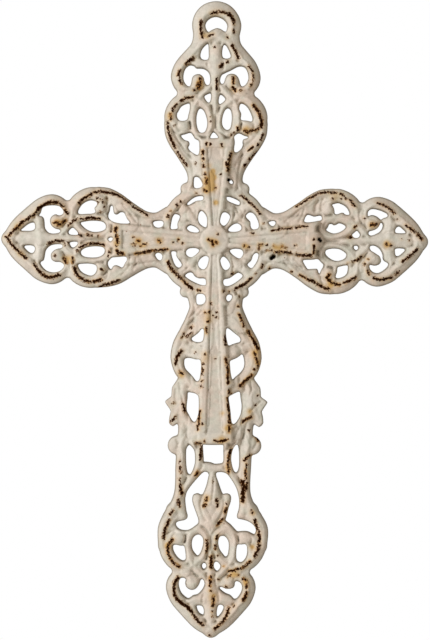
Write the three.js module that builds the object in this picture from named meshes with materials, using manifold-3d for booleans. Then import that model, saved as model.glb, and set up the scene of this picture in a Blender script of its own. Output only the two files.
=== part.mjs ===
// Openwork cast iron wall cross: one casting with a flat back, a pierced wheel, a raised plain cross
// and scrolled terminals, hung from the loop above its top arm. Millimetres, +Z up, front towards -Y.
import * as THREE from 'three';
import { mergeVertices } from 'three/addons/utils/BufferGeometryUtils.js';
import Module from 'manifold-3d';

const wasm = await Module();
wasm.setup();

// Driving sizes of the whole casting, from the wheel's hub
const LOOP_CROWN = 127.5;
const BOTTOM_SHIFT = 101.3;
const BACK_TRIM = 1;

// Relief, measured up from the flat back
const WALL = 3.2;
const RIM = 8;
const BAND = 7.5;
const STRAND = 6.5;
const LEAF = 6;
const WEB = 5.5;
const PLATE = 5;
const CROSS_RIM = 11.3;
const CROSS_PANEL = 10.2;
const HUB_TOP = 12;

// Central cross: reach of the arms and the foot, half widths at the hub and at the ends
const ARM_REACH = 55.8;
const FOOT_REACH = 111.7;
const ARM_ROOT_HALF = 3.9;
const ARM_END_HALF = 9.2;
const FOOT_END_HALF = 10.3;
const TOP_DRIFT = 0.5;
const FOOT_DRIFT = 0.9;
const RIM_CHAMFER = 2.2;
const CHAMFER_HEIGHT = 3.4;
const RIM_WIDTH = 4.2;
const HUB_RADIUS = 8;

// Wheel: the ring is broader on the diagonals than where the arms cross it
const RING_RADIUS = 28.3;
const RING_HALF = 2.6;
const RING_SWELL = 0.65;
const RING_STEPS = 24;
const CORNER_KNOB = { at: [15.9, 28.4], radius: 3.1 };

// The lower shaft leans a little: sideways place of its middle line by height
const SHAFT_LEAN = [[-25, 0.2], [-38, 1.1], [-70, 1.2], [-105, 0.9], [-122, 0.1], [-145, -0.5], [-165, -1.1],
  [-220, -0.5]];

// Uneven lobes of the casting: where they are fullest and how broad that place is
const LOBE_AT = 63;
const LOBE_SPREAD = 13;
const LEFT_LOWER_LEAN = -0.08;
const BOTTOM_RIGHT_SWELL = 0.05;

// A bar follows a path, with half widths and tops spread along it. Its crest is off the middle by a share
// of the half width, to the left of the path where positive. Its ends run on by a share of the half width.
const END_RUN = 0.7;
const TIP_RUN = 0.84;
const bar = (path, half, top, crest = 0, run = END_RUN) => ({ path, half, top, crest, run, wall: WALL });

// A strand is a slender bar whose sides rise straight to the crest. One that crosses its own path is made in
// two lengths that meet at a station.
const strand = (path, half, top, cut = 0) => ({ ...bar(path, half, top), wall: 0, cut });

// Terminal of every arm, one side: first number outward from the hub, second sideways
const TERMINAL = [
  bar([[113.7, 0], [108.2, 7.2], [99.5, 15.3], [95.4, 19.2], [90, 21.3], [85.5, 20], [82.6, 16.6],
    [82.9, 12.2], [86.6, 9.6]], [3, 3.3, 3.5, 3.5, 3.4, 3.3, 3, 2.9, 3],
  [BAND, RIM, RIM, BAND, BAND], 0.25, TIP_RUN),
  strand([[84.4, 3], [76, 10.4], [70, 12.4], [64, 12.4], [59.3, 10.6], [57.6, 7.2], [58.9, 4.4], [62, 2.5],
    [66.5, 2.3], [71, 3.5], [75, 6.5], [80.4, 14]], [2, 1.9, 1.9, 1.9, 1.9, 2, 2.3, 2.4, 2.3, 2.2, 2.1, 2.1],
  [LEAF, STRAND, STRAND, STRAND, LEAF], 7),
  bar([[79.8, 12], [78.8, 16.8], [75.9, 21.5], [71.4, 24.5], [66.2, 25], [62.6, 22], [62.2, 15.2]],
    [2.3, 2.9, 3.2, 3.3, 3.4, 3.7, 3.5], [STRAND, BAND, BAND, 7, STRAND], 0.1),
  bar([[96.2, 0], [97, 6], [98.2, 12.2]], [3.8, 2.6, 2.2], [STRAND, LEAF, WEB]),
];
const TERMINAL_PLATE = [[85, 2.8], [86.5, 8], [84, 12], [84.8, 16.5], [84.4, 20.6], [80.5, 21.2],
  [76.4, 20.4], [77.2, 14.2], [79.2, 9.4], [80.6, 6.2]];
const STEM = [
  bar([[62, 0], [73, 0], [87, 0], [93, 0], [97, 0], [105, 0], [112, 0]], [0.8, 2.3, 2.4, 4.2, 4.6, 3.8, 1.6],
    [5, WEB, 7, 7, 7, 7, LEAF]),
];
const BALL = { at: [86.7, 9.6], radius: 4.1, top: BAND };

// Leaf stem from the wheel to the lobe, and the toothed leaf plate between it and the cross
const LOBE_LEAF = [
  bar([[26.4, 15.4], [31.5, 12.9], [36, 12.6], [41, 14.4], [47, 18.2], [53, 22.4], [59, 25.4], [65, 25.9]],
    [2.8, 2.5, 2.8, 3, 3.2, 3.2, 3.2, 2.4], [LEAF, STRAND, 7, BAND, BAND, STRAND], 0.1),
];
const LEAF_PLATE = [[34.8, 5], [46.5, 5], [47.6, 11], [49.6, 11.6], [50.2, 14.8], [54.4, 15.2], [56, 18.4],
  [59.6, 20.2], [60, 24.6], [47, 18], [35, 12]];

// Hanging loop, first number sideways, second up from the hub
const LOOP = [
  bar([[-10.4, 107.5], [-9.2, 113], [-9.3, 118.6], [-7.9, 122.9], [-4.6, 126.2], [0, LOOP_CROWN],
    [4.6, 126.2], [8, 122.9], [9.7, 118.6], [9.3, 113], [10.4, 107.5]],
  [3, 3.5, 3.9, 4.1, 4.2, 4.2, 4.2, 4.2, 4.2, 3.6, 3],
  [7, BAND, RIM, RIM, RIM, RIM, RIM, BAND, 7], -0.25),
];

// One quarter of the wheel's tracery: two foils and the leaf on the diagonal
const FOIL = strand([[4.2, 19.8], [9, 18.1], [12.3, 14.6], [11.6, 11.2], [6.6, 6.6]],
  [2.4, 2.6, 2.6, 2.3, 1.8], [LEAF, STRAND, STRAND, LEAF]);
const WHEEL_LEAF = bar([[10.5, 10.5], [14.5, 14.5], [19.4, 19.4]], [2, 3.4, 3.3], [LEAF, 7, LEAF]);

// One side of the lower shaft: first number sideways from its middle line, second up from the hub
const SHAFT = [
  bar([[13, -29], [12.2, -36.5], [14.2, -43.5], [17.2, -50.5], [19.9, -57.5], [20.8, -64.5], [18.9, -71.5],
    [14.4, -77], [9.2, -82.8]], [3, 2.4, 2.8, 3.2, 4, 4.3, 4, 3.2, 2.4],
  [STRAND, 7, BAND, BAND, 7, STRAND], 0.4),
  bar([[7.6, -37.6], [8.6, -43.5], [12.3, -49.2], [18, -57]], [3.2, 3.6, 2.7, 2.2],
    [WEB, LEAF, STRAND, LEAF]),
  bar([[6.5, -61.2], [10.5, -60.8], [15, -59.2], [18.5, -58.5]], [4, 3.9, 2.9, 2.2],
    [LEAF, STRAND, LEAF, WEB]),
  bar([[17.5, -76.5], [19.2, -83], [19.2, -90], [17.8, -97], [17, -103]], [2.8, 4, 4.3, 3.8, 2.6],
    [LEAF, STRAND, 7, STRAND, LEAF]),
  bar([[18.2, -95], [14.6, -101], [11.6, -106.2], [9.8, -109.8]], [2.6, 3.4, 3.8, 3], [STRAND, STRAND]),
  bar([[9.4, -110], [7.5, -116.5], [7.6, -122.5], [10, -128.5], [16.8, -140]], [2.6, 2.2, 2.2, 2.2, 2],
    [STRAND, STRAND, STRAND, LEAF]),
  bar([[17.2, -101], [17.5, -109], [17.7, -124], [17.8, -138], [19.8, -146], [23.2, -152.5], [25.8, -159],
    [26, -166]], [2.6, 3.1, 3.1, 3.1, 3.5, 4, 3.9, 2.2], [STRAND, BAND, RIM, RIM, BAND, 7], 0.25),
  bar([[17.5, -144], [17.3, -148.6], [15.6, -151.6]], [2.8, 2.5, 1.6], [STRAND, LEAF, 5]),
  bar([[22, -148], [20.6, -152]], [3, 3], [WEB, WEB]),
  bar([[0, -156], [4.5, -150], [7.8, -143.5], [8.7, -141.6]], [3.5, 3.6, 2.8, 1.9], [LEAF, STRAND, WEB, 5]),
];
const SHAFT_KNOB = { at: [20.4, -112.8], radius: 5.2 };
const SHAFT_PLATE = [[17.5, -76.5], [20.4, -76.8], [23.8, -81], [24.1, -85.8], [27.6, -88.9], [24.4, -94.3],
  [25.2, -100.2], [23.2, -102.3], [20.6, -100.8], [17.5, -100]];

// Cross rail under the foot and the lily's middle blade
const SHAFT_MIDDLE = [
  bar([[-7, -124.8], [0, -125.2], [7, -124.8]], [2.1, 2.1], [LEAF, LEAF]),
  bar([[0, -127], [0, -133], [0, -139.5], [0, -147], [0, -157], [0, -164]], [1.1, 2.9, 5, 5.8, 5.6, 2.4],
    [WEB, LEAF, STRAND, STRAND, LEAF, WEB]),
];

// A list of values read at a share of the way along it
function along(values, share) {
  const place = share * (values.length - 1);
  const index = Math.min(Math.floor(place), values.length - 2);
  return THREE.MathUtils.lerp(values[index], values[index + 1], place - index);
}

// Sideways place of the lower shaft's middle line at a height
function shaftMiddle(height) {
  const next = SHAFT_LEAN.findIndex(([level]) => level <= height);
  if (next === 0) return SHAFT_LEAN[0][1];
  if (next < 0) return SHAFT_LEAN.at(-1)[1];
  const [upper, from] = SHAFT_LEAN[next - 1];
  const [lower, to] = SHAFT_LEAN[next];
  return THREE.MathUtils.lerp(from, to, (upper - height) / (upper - lower));
}

// Sideways distance where a lobe is cast fuller or leaner than the pattern
function fuller(out, aside, amount) {
  const away = (out - LOBE_AT) / LOBE_SPREAD;
  return aside * (1 + amount * Math.exp(-(away ** 2)));
}

// Solid from a closed geometry, with its shared corners merged
function solidOf(geometry) {
  geometry.deleteAttribute('normal');
  geometry.deleteAttribute('uv');
  const merged = mergeVertices(geometry, 1e-4);
  return new wasm.Manifold(new wasm.Mesh({
    numProp: 3,
    vertProperties: new Float32Array(merged.attributes.position.array),
    triVerts: new Uint32Array(merged.index.array),
  }));
}

// Stations of a bar: each has its place, its sideways direction, half width and top
function stationsOf({ path, half, top, run }) {
  const curve = new THREE.SplineCurve(path.map(([x, y]) => new THREE.Vector2(x, y)));
  const steps = path.length - 1;
  return path.map((_, index) => {
    const share = index / steps;
    const heading = curve.getTangent(share);
    const halfHere = along(half, share);
    let onward = 0;
    if (index === 0) onward = -run * halfHere;
    if (index === steps) onward = run * halfHere;
    return {
      place: curve.getPoint(share).addScaledVector(heading, onward),
      left: new THREE.Vector2(-heading.y, heading.x),
      half: halfHere,
      top: along(top, share),
    };
  });
}

// Bar along its stations, flat below, with its crest between plain side walls
function barGeometry(stations, crest, wall, closed = false) {
  const rows = stations.map(({ place, left, half, top }) => {
    const spot = (aside, height) => {
      const at = place.clone().addScaledVector(left, aside);
      return [at.x, at.y, height];
    };
    const crestSpot = spot(crest * half, top);
    if (wall) {
      return [spot(half, -BACK_TRIM), spot(half, wall), crestSpot, spot(-half, wall),
        spot(-half, -BACK_TRIM)];
    }
    const foot = half * (1 + BACK_TRIM / top);
    return [spot(foot, -BACK_TRIM), crestSpot, spot(-foot, -BACK_TRIM)];
  });
  const sides = rows[0].length;
  const rings = rows.length;
  const faces = [];
  for (let ring = 0; ring < (closed ? rings : rings - 1); ring += 1) {
    const here = ring * sides;
    const there = ((ring + 1) % rings) * sides;
    for (let side = 0; side < sides; side += 1) {
      const next = (side + 1) % sides;
      faces.push(here + side, there + next, there + side, here + side, here + next, there + next);
    }
  }
  if (!closed) {
    const last = (rings - 1) * sides;
    for (let side = 1; side < sides - 1; side += 1) {
      faces.push(0, side + 1, side, last, last + side, last + side + 1);
    }
  }
  const geometry = new THREE.BufferGeometry();
  geometry.setAttribute('position', new THREE.Float32BufferAttribute(rows.flat(2), 3));
  geometry.setIndex(faces);
  return geometry;
}

// Bars put in place by a rule for their points; a mirrored place turns the crest to the other side
function placedBars(bars, place, mirrored) {
  return bars.flatMap((one) => {
    const stations = stationsOf({ ...one, path: one.path.map(([x, y]) => place(x, y)) });
    const crest = mirrored ? -one.crest : one.crest;
    const lengths = one.cut ? [stations.slice(0, one.cut + 1), stations.slice(one.cut)] : [stations];
    return lengths.map((length) => solidOf(barGeometry(length, crest, one.wall)));
  });
}

// Level plate with a straight-sided outline, put in place by a rule for its points
function placedPlate(outline, place, top) {
  const shape = new THREE.Shape(outline.map(([x, y]) => new THREE.Vector2(...place(x, y))));
  const geometry = new THREE.ExtrudeGeometry(shape, { depth: top + BACK_TRIM, bevelEnabled: false });
  geometry.translate(0, 0, -BACK_TRIM);
  return solidOf(geometry);
}

// Low round knob with a domed top
function knob([x, y], radius, top, segments = 8) {
  const shoulder = WALL + (top - WALL) * 0.7;
  const profile = [[0, -BACK_TRIM], [radius, -BACK_TRIM], [radius, WALL], [radius * 0.72, shoulder],
    [0, top]];
  const geometry = new THREE.LatheGeometry(profile.map(([r, h]) => new THREE.Vector2(r, h)), segments);
  geometry.rotateX(Math.PI / 2);
  geometry.translate(x, y, 0);
  return solidOf(geometry);
}

// Plan of one arm of the raised cross, drawn outward along +Y and drawn in by a margin
function armShape(reach, endHalf, margin) {
  const slope = (endHalf - ARM_ROOT_HALF) / reach;
  const end = reach - margin;
  const root = Math.max(ARM_ROOT_HALF - margin, 0.4);
  const tip = ARM_ROOT_HALF + slope * end - margin;
  const start = Math.max(0, (margin + root - ARM_ROOT_HALF) / slope);
  const corners = [[-root, start], [root, start], [tip, end], [-tip, end]];
  return new THREE.Shape(corners.map(([x, y]) => new THREE.Vector2(x, y)));
}

// One arm of the raised cross: a chamfered rim round a sunk panel
function crossArm(reach, endHalf, turn, drift) {
  const body = new THREE.ExtrudeGeometry(armShape(reach, endHalf, 0), {
    depth: CROSS_RIM - CHAMFER_HEIGHT + BACK_TRIM,
    bevelThickness: CHAMFER_HEIGHT,
    bevelSize: RIM_CHAMFER,
    bevelOffset: -RIM_CHAMFER,
    bevelSegments: 1,
  });
  body.translate(0, 0, -BACK_TRIM);
  const sunk = armShape(reach, endHalf, RIM_WIDTH);
  const panel = new THREE.ExtrudeGeometry(sunk, { depth: CROSS_RIM, bevelEnabled: false });
  panel.translate(0, 0, CROSS_PANEL);
  for (const geometry of [body, panel]) {
    geometry.rotateZ(turn);
    geometry.applyMatrix4(new THREE.Matrix4().makeShear(0, 0, drift / reach, 0, 0, 0));
  }
  return { body: solidOf(body), panel: solidOf(panel) };
}

// Ring of the wheel
function wheelRing() {
  const stations = Array.from({ length: RING_STEPS }, (_, index) => {
    const angle = (2 * Math.PI * index) / RING_STEPS;
    const swell = RING_SWELL * Math.cos(4 * angle);
    const inward = new THREE.Vector2(-Math.cos(angle), -Math.sin(angle));
    return {
      place: inward.clone().multiplyScalar(swell - RING_RADIUS),
      left: inward,
      half: RING_HALF - swell,
      top: RIM,
    };
  });
  return solidOf(barGeometry(stations, 0.2, WALL, true));
}

// All the openwork: terminals, leaves, wheel, lower shaft and loop
function openwork() {
  const pieces = [];
  for (const side of [1, -1]) {
    const armBars = [...TERMINAL, ...LOBE_LEAF];
    const leftLean = side > 0 ? 0 : LEFT_LOWER_LEAN;
    const bottomSwell = side > 0 ? BOTTOM_RIGHT_SWELL : 0;
    const top = (out, aside) => [side * aside, out];
    const left = (out, aside) => [-out, side * fuller(out, aside, leftLean)];
    const right = (out, aside) => [out, side * aside];
    const shaft = (aside, up) => {
      const swollen = fuller(-up - BOTTOM_SHIFT, aside, bottomSwell);
      return [shaftMiddle(up) + side * swollen, up];
    };
    const bottom = (out, aside) => shaft(aside, -out - BOTTOM_SHIFT);
    pieces.push(...placedBars(armBars, top, side > 0));
    pieces.push(...placedBars(armBars, left, side > 0));
    pieces.push(...placedBars(armBars, right, side < 0));
    pieces.push(...placedBars(TERMINAL, bottom, side < 0));
    pieces.push(...placedBars(SHAFT, shaft, side < 0));
    for (const place of [top, left, right, bottom]) {
      pieces.push(knob(place(...BALL.at), BALL.radius, BALL.top));
      pieces.push(placedPlate(TERMINAL_PLATE, place, PLATE));
    }
    for (const place of [top, left, right]) pieces.push(placedPlate(LEAF_PLATE, place, PLATE));
    pieces.push(placedPlate(SHAFT_PLATE, shaft, PLATE));
    pieces.push(knob(shaft(...SHAFT_KNOB.at), SHAFT_KNOB.radius, STRAND));
    for (const tall of [1, -1]) {
      const quarter = (x, y) => [side * x, tall * y];
      const swapped = (x, y) => [side * y, tall * x];
      pieces.push(...placedBars([FOIL, WHEEL_LEAF], quarter, side * tall < 0));
      pieces.push(...placedBars([FOIL], swapped, side * tall > 0));
      pieces.push(knob(quarter(...CORNER_KNOB.at), CORNER_KNOB.radius, WEB));
    }
  }
  const axes = [(out, aside) => [aside, out], (out, aside) => [-out, aside], (out, aside) => [out, aside],
    (out, aside) => [shaftMiddle(-out - BOTTOM_SHIFT) + aside, -out - BOTTOM_SHIFT]];
  for (const place of axes) pieces.push(...placedBars(STEM, place, false));
  pieces.push(...placedBars(SHAFT_MIDDLE, (aside, up) => [shaftMiddle(up) + aside, up], false));
  pieces.push(...placedBars(LOOP, (x, y) => [x, y], false));
  pieces.push(wheelRing());
  return wasm.Manifold.union(pieces);
}

// Raised cross with its hub
function raisedCross() {
  const arms = [
    crossArm(ARM_REACH, ARM_END_HALF, 0, TOP_DRIFT),
    crossArm(ARM_REACH, ARM_END_HALF, Math.PI / 2, 0),
    crossArm(ARM_REACH, ARM_END_HALF, -Math.PI / 2, 0),
    crossArm(FOOT_REACH, FOOT_END_HALF, Math.PI, -FOOT_DRIFT),
  ];
  const bodies = wasm.Manifold.union(arms.map(({ body }) => body));
  const panels = wasm.Manifold.union(arms.map(({ panel }) => panel));
  const hub = [[0, -BACK_TRIM], [HUB_RADIUS, -BACK_TRIM], [HUB_RADIUS, RIM],
    [HUB_RADIUS - 1.2, HUB_TOP - 0.8], [HUB_RADIUS / 2, HUB_TOP - 0.2], [0, HUB_TOP]];
  const dome = new THREE.LatheGeometry(hub.map(([r, h]) => new THREE.Vector2(r, h)), 16);
  dome.rotateX(Math.PI / 2);
  return bodies.subtract(panels).add(solidOf(dome));
}

// Everything below the flat back, cut away
function belowBack() {
  const box = new THREE.BoxGeometry(400, 500, 20);
  box.translate(0, 0, -10);
  return solidOf(box);
}

// The whole casting in its paint, stood upright with the loop's crown at the origin
function castCross() {
  const casting = openwork().add(raisedCross()).subtract(belowBack());
  const { vertProperties, triVerts } = casting.getMesh();
  const geometry = new THREE.BufferGeometry();
  geometry.setAttribute('position', new THREE.Float32BufferAttribute(vertProperties, 3));
  geometry.setIndex(new THREE.BufferAttribute(triVerts, 1));
  const flat = geometry.toNonIndexed();
  flat.computeVertexNormals();
  const paint = new THREE.MeshStandardMaterial({ color: 0xd8d0c2, roughness: 0.75, metalness: 0 });
  const mesh = new THREE.Mesh(flat, paint);
  mesh.name = 'cast_cross';
  mesh.rotation.x = Math.PI / 2;
  mesh.position.z = -LOOP_CROWN;
  return mesh;
}

const wallCross = new THREE.Group();
wallCross.name = 'wall_cross';
wallCross.add(castCross());

export default wallCross;
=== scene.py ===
"""Looks of the cast iron wall cross: fine casting relief, worn cream paint, rust, light and camera."""

import math

import bpy
import numpy as np
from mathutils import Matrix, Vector
from mathutils.geometry import delaunay_2d_cdt


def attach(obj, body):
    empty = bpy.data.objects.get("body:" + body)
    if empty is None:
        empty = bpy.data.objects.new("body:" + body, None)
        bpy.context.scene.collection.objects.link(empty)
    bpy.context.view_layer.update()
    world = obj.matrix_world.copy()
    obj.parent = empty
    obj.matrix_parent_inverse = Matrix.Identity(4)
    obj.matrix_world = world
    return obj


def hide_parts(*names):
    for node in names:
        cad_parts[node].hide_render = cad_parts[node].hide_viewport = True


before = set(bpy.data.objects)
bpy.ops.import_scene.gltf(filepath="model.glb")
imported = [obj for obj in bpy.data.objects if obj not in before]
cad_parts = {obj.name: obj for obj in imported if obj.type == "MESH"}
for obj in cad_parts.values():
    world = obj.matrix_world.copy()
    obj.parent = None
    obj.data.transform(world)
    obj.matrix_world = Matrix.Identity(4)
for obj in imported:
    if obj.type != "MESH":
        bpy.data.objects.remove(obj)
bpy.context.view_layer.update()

# Sizes in millimetres, from the wheel's hub: x to the right, z up, height out of the flat back
MM = 0.001
LOOP_CROWN = 127.5
BOTTOM_SHIFT = 101.3
LOWEST = 1.2
HIGHEST = 11.95

# Relief, measured up from the flat back
WALL = 4.7
STRAND_WALL = 3.4
RIM = 8.0
BAND = 7.5
STRAND = 7.1
LEAF = 6.7
WEB = 6.3
PLATE = 5.8
SHAFT_BALL_TOP = 8.8
SHAFT_WEB_TOP = 9
OPENWORK_TOP = 9.4
CROSS_RIM = 11.2
HUB_TOP = 11.8

# Central cross: reach, half widths, sideways drift, and half width and flare of the sunk panels
ARM_REACH = 55.8
FOOT_REACH = 111.7
ARM_ROOT_HALF = 3.9
ARM_END_HALF = 9.2
FOOT_END_HALF = 10.3
ARM_FLARE = 1.15
ARM_START = -4
ARM_CORNER = 1.0
TOP_DRIFT = 0.5
FOOT_DRIFT = 0.9
ARM_PANEL = (0.6, 0.085)
FOOT_PANEL = (1.2, 0.034)
PANEL_END_RIM = 5.2
CROSS_JOIN = 0.4
HUB_RADIUS = 8.0
ARMS = [
    ((0, 1), ARM_REACH, ARM_END_HALF, TOP_DRIFT, ARM_PANEL),
    ((-1, 0), ARM_REACH, ARM_END_HALF, 0, ARM_PANEL),
    ((1, 0), ARM_REACH, ARM_END_HALF, 0, ARM_PANEL),
    ((0, -1), FOOT_REACH, FOOT_END_HALF, FOOT_DRIFT, FOOT_PANEL),
]

# Heights over the cross by the way in from its edge, into a panel, and out from the hub
CROSS_EDGE = ([-3, 0, 0.3, 0.7, 1.2, 1.8], [-2, 8.2, 10.0, 10.8, 11.1, CROSS_RIM])
PANEL_EDGE = ([-0.8, -0.25, 0.25, 0.8, 1.3, 2.0], [0, -0.35, -1.35, -0.65, -0.9, -0.8])
BOSS_EDGE = 7.9
BOSS_REACH = 9.5
BOSS = ([0, 3, 5.4, 6.8, 7.5, BOSS_EDGE, BOSS_REACH], [HUB_TOP, 11.73, 11.55, 11.3, 10.95, 10.75, -2])
BOSS_GROOVE = ([BOSS_EDGE, 8.1, 8.9], [10.75, 10.75, CROSS_RIM])

# Skirt of iron round the raised cross: it ends short of the arms' ends and falls away from the cross
SKIRT_SHORT = 5
SKIRT_AWAY = [0, 4.5, 6]
SKIRT = [8.9, 8, 5.5]

# Wheel
RING_RADIUS = 28.3
RING_HALF = 2.6
RING_SWELL = 0.65
RING_WALL = 6.2
RING_CREST = 0.2
RING_REACH = 36
CORNER_KNOB = ([15.9, 28.4], 3.1)

# Lean of the lower shaft by height, uneven lobes, and stems of the side arms that lie above the middle
SHAFT_LEAN = [(-220, -0.5), (-165, -1.1), (-145, -0.5), (-122, 0.1), (-105, 0.9), (-70, 1.2), (-38, 1.1),
              (-25, 0.2)]
LOBE_AT = 63
LOBE_SPREAD = 13
LOBE_SWELL = {"top": (0.02, 0), "left": (0.03, -0.08), "right": (0.025, 0.035), "bottom": (0.1, 0)}
SHAFT_LEAF_AT = 96
SHAFT_LEAF_SPREAD = 20
SHAFT_LEAF_SWELL = 0.045
STEM_LIFT = 0.6
STEM_LIFT_FROM = 70
STEM_LIFT_RUN = 15

# Sections of bars: share that is ridged, softness of the ridge, fullness of the round, fall past the edges
RIDGED_SIDE = 0.5
RIDGED_MIDDLE = 0.3
RIDGE_SOFT = 0.2
ROUND_POWER = 0.6
EDGE_FALL = 3
END_RUN = 0.7
TIP_RUN = 0.84

# Casting: rounded edges and corners, soft joins between bars, bars that broaden into small gaps
EDGE_ROUND = 2.1
BOSS_ROUND = 8.2
BOSS_STEEP = 3
CORNER_FILL = 1.7
CORNER_WEAR = 0.7
PLAN_JOIN = 1.4
RELIEF_JOIN = 0.9
BAR_BEND = 0.2
BAR_BROAD = 4.5
GAP_REACH = 6
GAP_FILL = 1.8
GROUND_EDGE = 3
GROUND_RISE = 1.2

# Lines between strands: half width, depths, fading at the ends, near openings and under higher relief
LINE_HALF = 0.6
LINE_DEEP = 0.9
FAINT_LINE = 0.45
LINE_FADE = 0.12
LINE_CLEAR = 1.2
LINE_UNDER = 0.4
LINE_UNDER_RUN = 0.3

# Pits: shares of the radius where a pit and its painted shade end, and its floor and rise
PIT_REACH = 1.6
PIT_DARK_REACH = 1.5
PIT_DARK_RUN = 0.6
PIT_FLOOR = 1.4
PIT_RISE = 3

# Unevenness of the outline and of the front: amount, width of the bumps and seed
OUTLINE_UNEVEN = [(0.12, 7, 3)]
FRONT_UNEVEN = [(0.10, 5, 5), (0.05, 1.7, 8)]
UNEVEN_TALL = 360
UNEVEN_WIDE = 246

# Grids: fine plan maps with a margin round each form, and the spacing of the mesh
PLAN_LOW = (-121, -222)
PLAN_HIGH = (121, 134)
STEP = 0.25
MARGIN = 3
BAR_MARGIN = 2.5
FAR = 30.0
CELL = 0.52
PLAN_BORDER = 4
SNAP = 0.34
LEAST_STEEP = 0.05
BACK_CELL = 5.0
BACK_INSET = 1.5

# Dirt and painted shade in hollows, painted shade beside the short arms of the cross and in pits
HOLLOW_REACH = 1.0
HOLLOW_MOST = 1.2
LEAST_SOLID = 0.05
# Painted shade beside the raised short arms: strength, width, reach, and the lowest level up the cross
ARM_SHADE = 0.5
ARM_SHADE_WIDE = 0.9
ARM_SHADE_REACH = 3
ARM_SHADE_LOW = -14
# Painted shade added in the pits
PIT_SHADE = 2

# Wear: value where there is none, reach of each worn line, reach of its rusty halo, strength of stains
UNWORN = -5.0
WORN_REACH = 4
HALO_REACH = 0.9
STAIN_POWER = 1.35
STAIN_REACH = 3

# Colours of paint, dirt, painted shade, rust and iron
PAINT_LIGHT = (0.70, 0.642, 0.553, 1)
PAINT_WARM = (0.69, 0.572, 0.472, 1)
PAINT_GREY = (0.575, 0.562, 0.462, 1)
# Dirt and painted shade in hollows, and painted shade along the outline
SOIL_AND_SHADE = (0.27, 0.23, 0.17, 1)
OCHRE = (0.55, 0.33, 0.095, 1)
ORANGE = (0.42, 0.18, 0.045, 1)
BROWN = (0.22, 0.085, 0.022, 1)
IRON_DARK = (0.009, 0.0026, 0.0006, 1)
IRON_RUST = (0.038, 0.010, 0.0018, 1)
# Near black painted shade in the pits
PIT_SHADE_DARK = (0.02, 0.013, 0.008, 1)

# Noise in the paint: size in metres, detail, roughness and offset
BROAD_NOISE = (0.022, 2.0, 0.5, 3.1)
PATCH_NOISE = (0.006, 3.0, 0.55, 7.7)
BLOT_NOISE = (0.0022, 3.0, 0.6, 1.3)
FINE_NOISE = (0.0011, 2.0, 0.6, 5.9)
GRAIN_NOISE = (0.00045, 2.0, 0.6, 9.2)
SPECK_SCALE = 150.0

# Steps of the paint: from low to high, and what they give there if not 0 and 1
WARM_STEP = (0.35, 0.65)
GREY_STEP = (0.42, 0.72, 0, 0.7)
LIFT_STEP = (0.25, 0.75, 0.9, 1.08)
# Dirt and painted shade in hollows
SOIL_AND_SHADE_STEP = (0.1, 1.1, 0, 0.75)
# Painted shade along the outline and round the openings
EDGE_SHADE_STEP = (0.95, -0.3, 0, 0.7)
# Near black painted shade in the pits
PIT_SHADE_STEP = (1.4, 2.4, 0, 0.95)
WASH_STEP = (0.25, 0.6, 0.5, 1.3)
SEEP_STEP = (0.3, 0.62, 0.35, 1.25)
ORANGE_STEP = (0.45, 1.1, 0, 0.75)
BROWN_STEP = (-0.45, -0.05, 0, 0.85)
BARE_STEP = (-0.1, 0.06)
IRON_STEP = (0.35, 0.7)
SPECK_STEP = (0.075, 0.03)
SPECK_CHANCE = (0.72, 0.74)
SHINE_STEP = (0, 1, 0.3, 0)

# How far noise stirs the dirt and painted shade in hollows, the painted shade along the outline and the worn
# edges
SOIL_AND_SHADE_STIR = 0.5
EDGE_SHADE_STIR = 1.2
WORN_STIR = (3.3, 0.485)
GRAIN_STIR = 1.7

# Strongest stain, seeping rust and specks, roughness and bump of paint and bare iron
WASH_MOST = 0.9
SEEP_MOST = 0.92
SPECK_MOST = 0.85
ROUGH_PAINT = (0.2, 0.5)
ROUGH_BARE = 0.15
BUMP_BLOT = 0.9
BUMP_FINE = 0.5
BUMP_GRAIN = 0.15
BUMP_BARE = -0.35
BUMP_STRENGTH = 0.35
BUMP_DEEP = 0.0006

# Camera: frame height and sensor width in millimetres, lean in degrees, the rest in metres
FRAME_HEIGHT = 352.0
FRAME_PLANE = 0.005
MIDDLE = (0.0005, 0.0, -0.1713)
CAMERA_AWAY = 1.8
CAMERA_SENSOR = 36
CAMERA_FAR = 50
LEAN = 0.4

# Studio, in metres and watts
WHITE = (1, 1, 1, 1)
AMBIENT = 0.41
AMBIENT_COLOUR = (1.0, 0.93, 0.82, 1)
KEY_PLACE = (-1.4, -1.3, 0.2)
KEY_SIZE = 0.9
KEY_POWER = 28.5
KEY_COLOUR = (0.97, 1.0, 1.06)
FILL_PLACE = (1.3, -1.6, 0.1)
FILL_SIZE = 1.2
FILL_POWER = 0.8
FLOOR_LEVEL = -0.44
FLOOR_RADIUS = 0.7
FLOOR_SIDES = 96
FLOOR_DARK = (0.80, 0.79, 0.77, 1)
FLOOR_LIGHT = (0.84, 0.83, 0.81, 1)
FLOOR_NOISE = (0.05, 3.0)
FLOOR_ROUGH = 0.8


def bar(path, half, top, crest=0.0, run=END_RUN, wall=WALL, lined=0.0):
    """A cast bar along a path, with half widths and tops spread along it and its crest off the middle."""
    return {"path": path, "half": half, "top": top, "crest": crest, "run": run, "wall": wall, "lined": lined}


def strand(path, half, top, lined=0.0):
    """A slender bar."""
    return bar(path, half, top, wall=STRAND_WALL, lined=lined)


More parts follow.
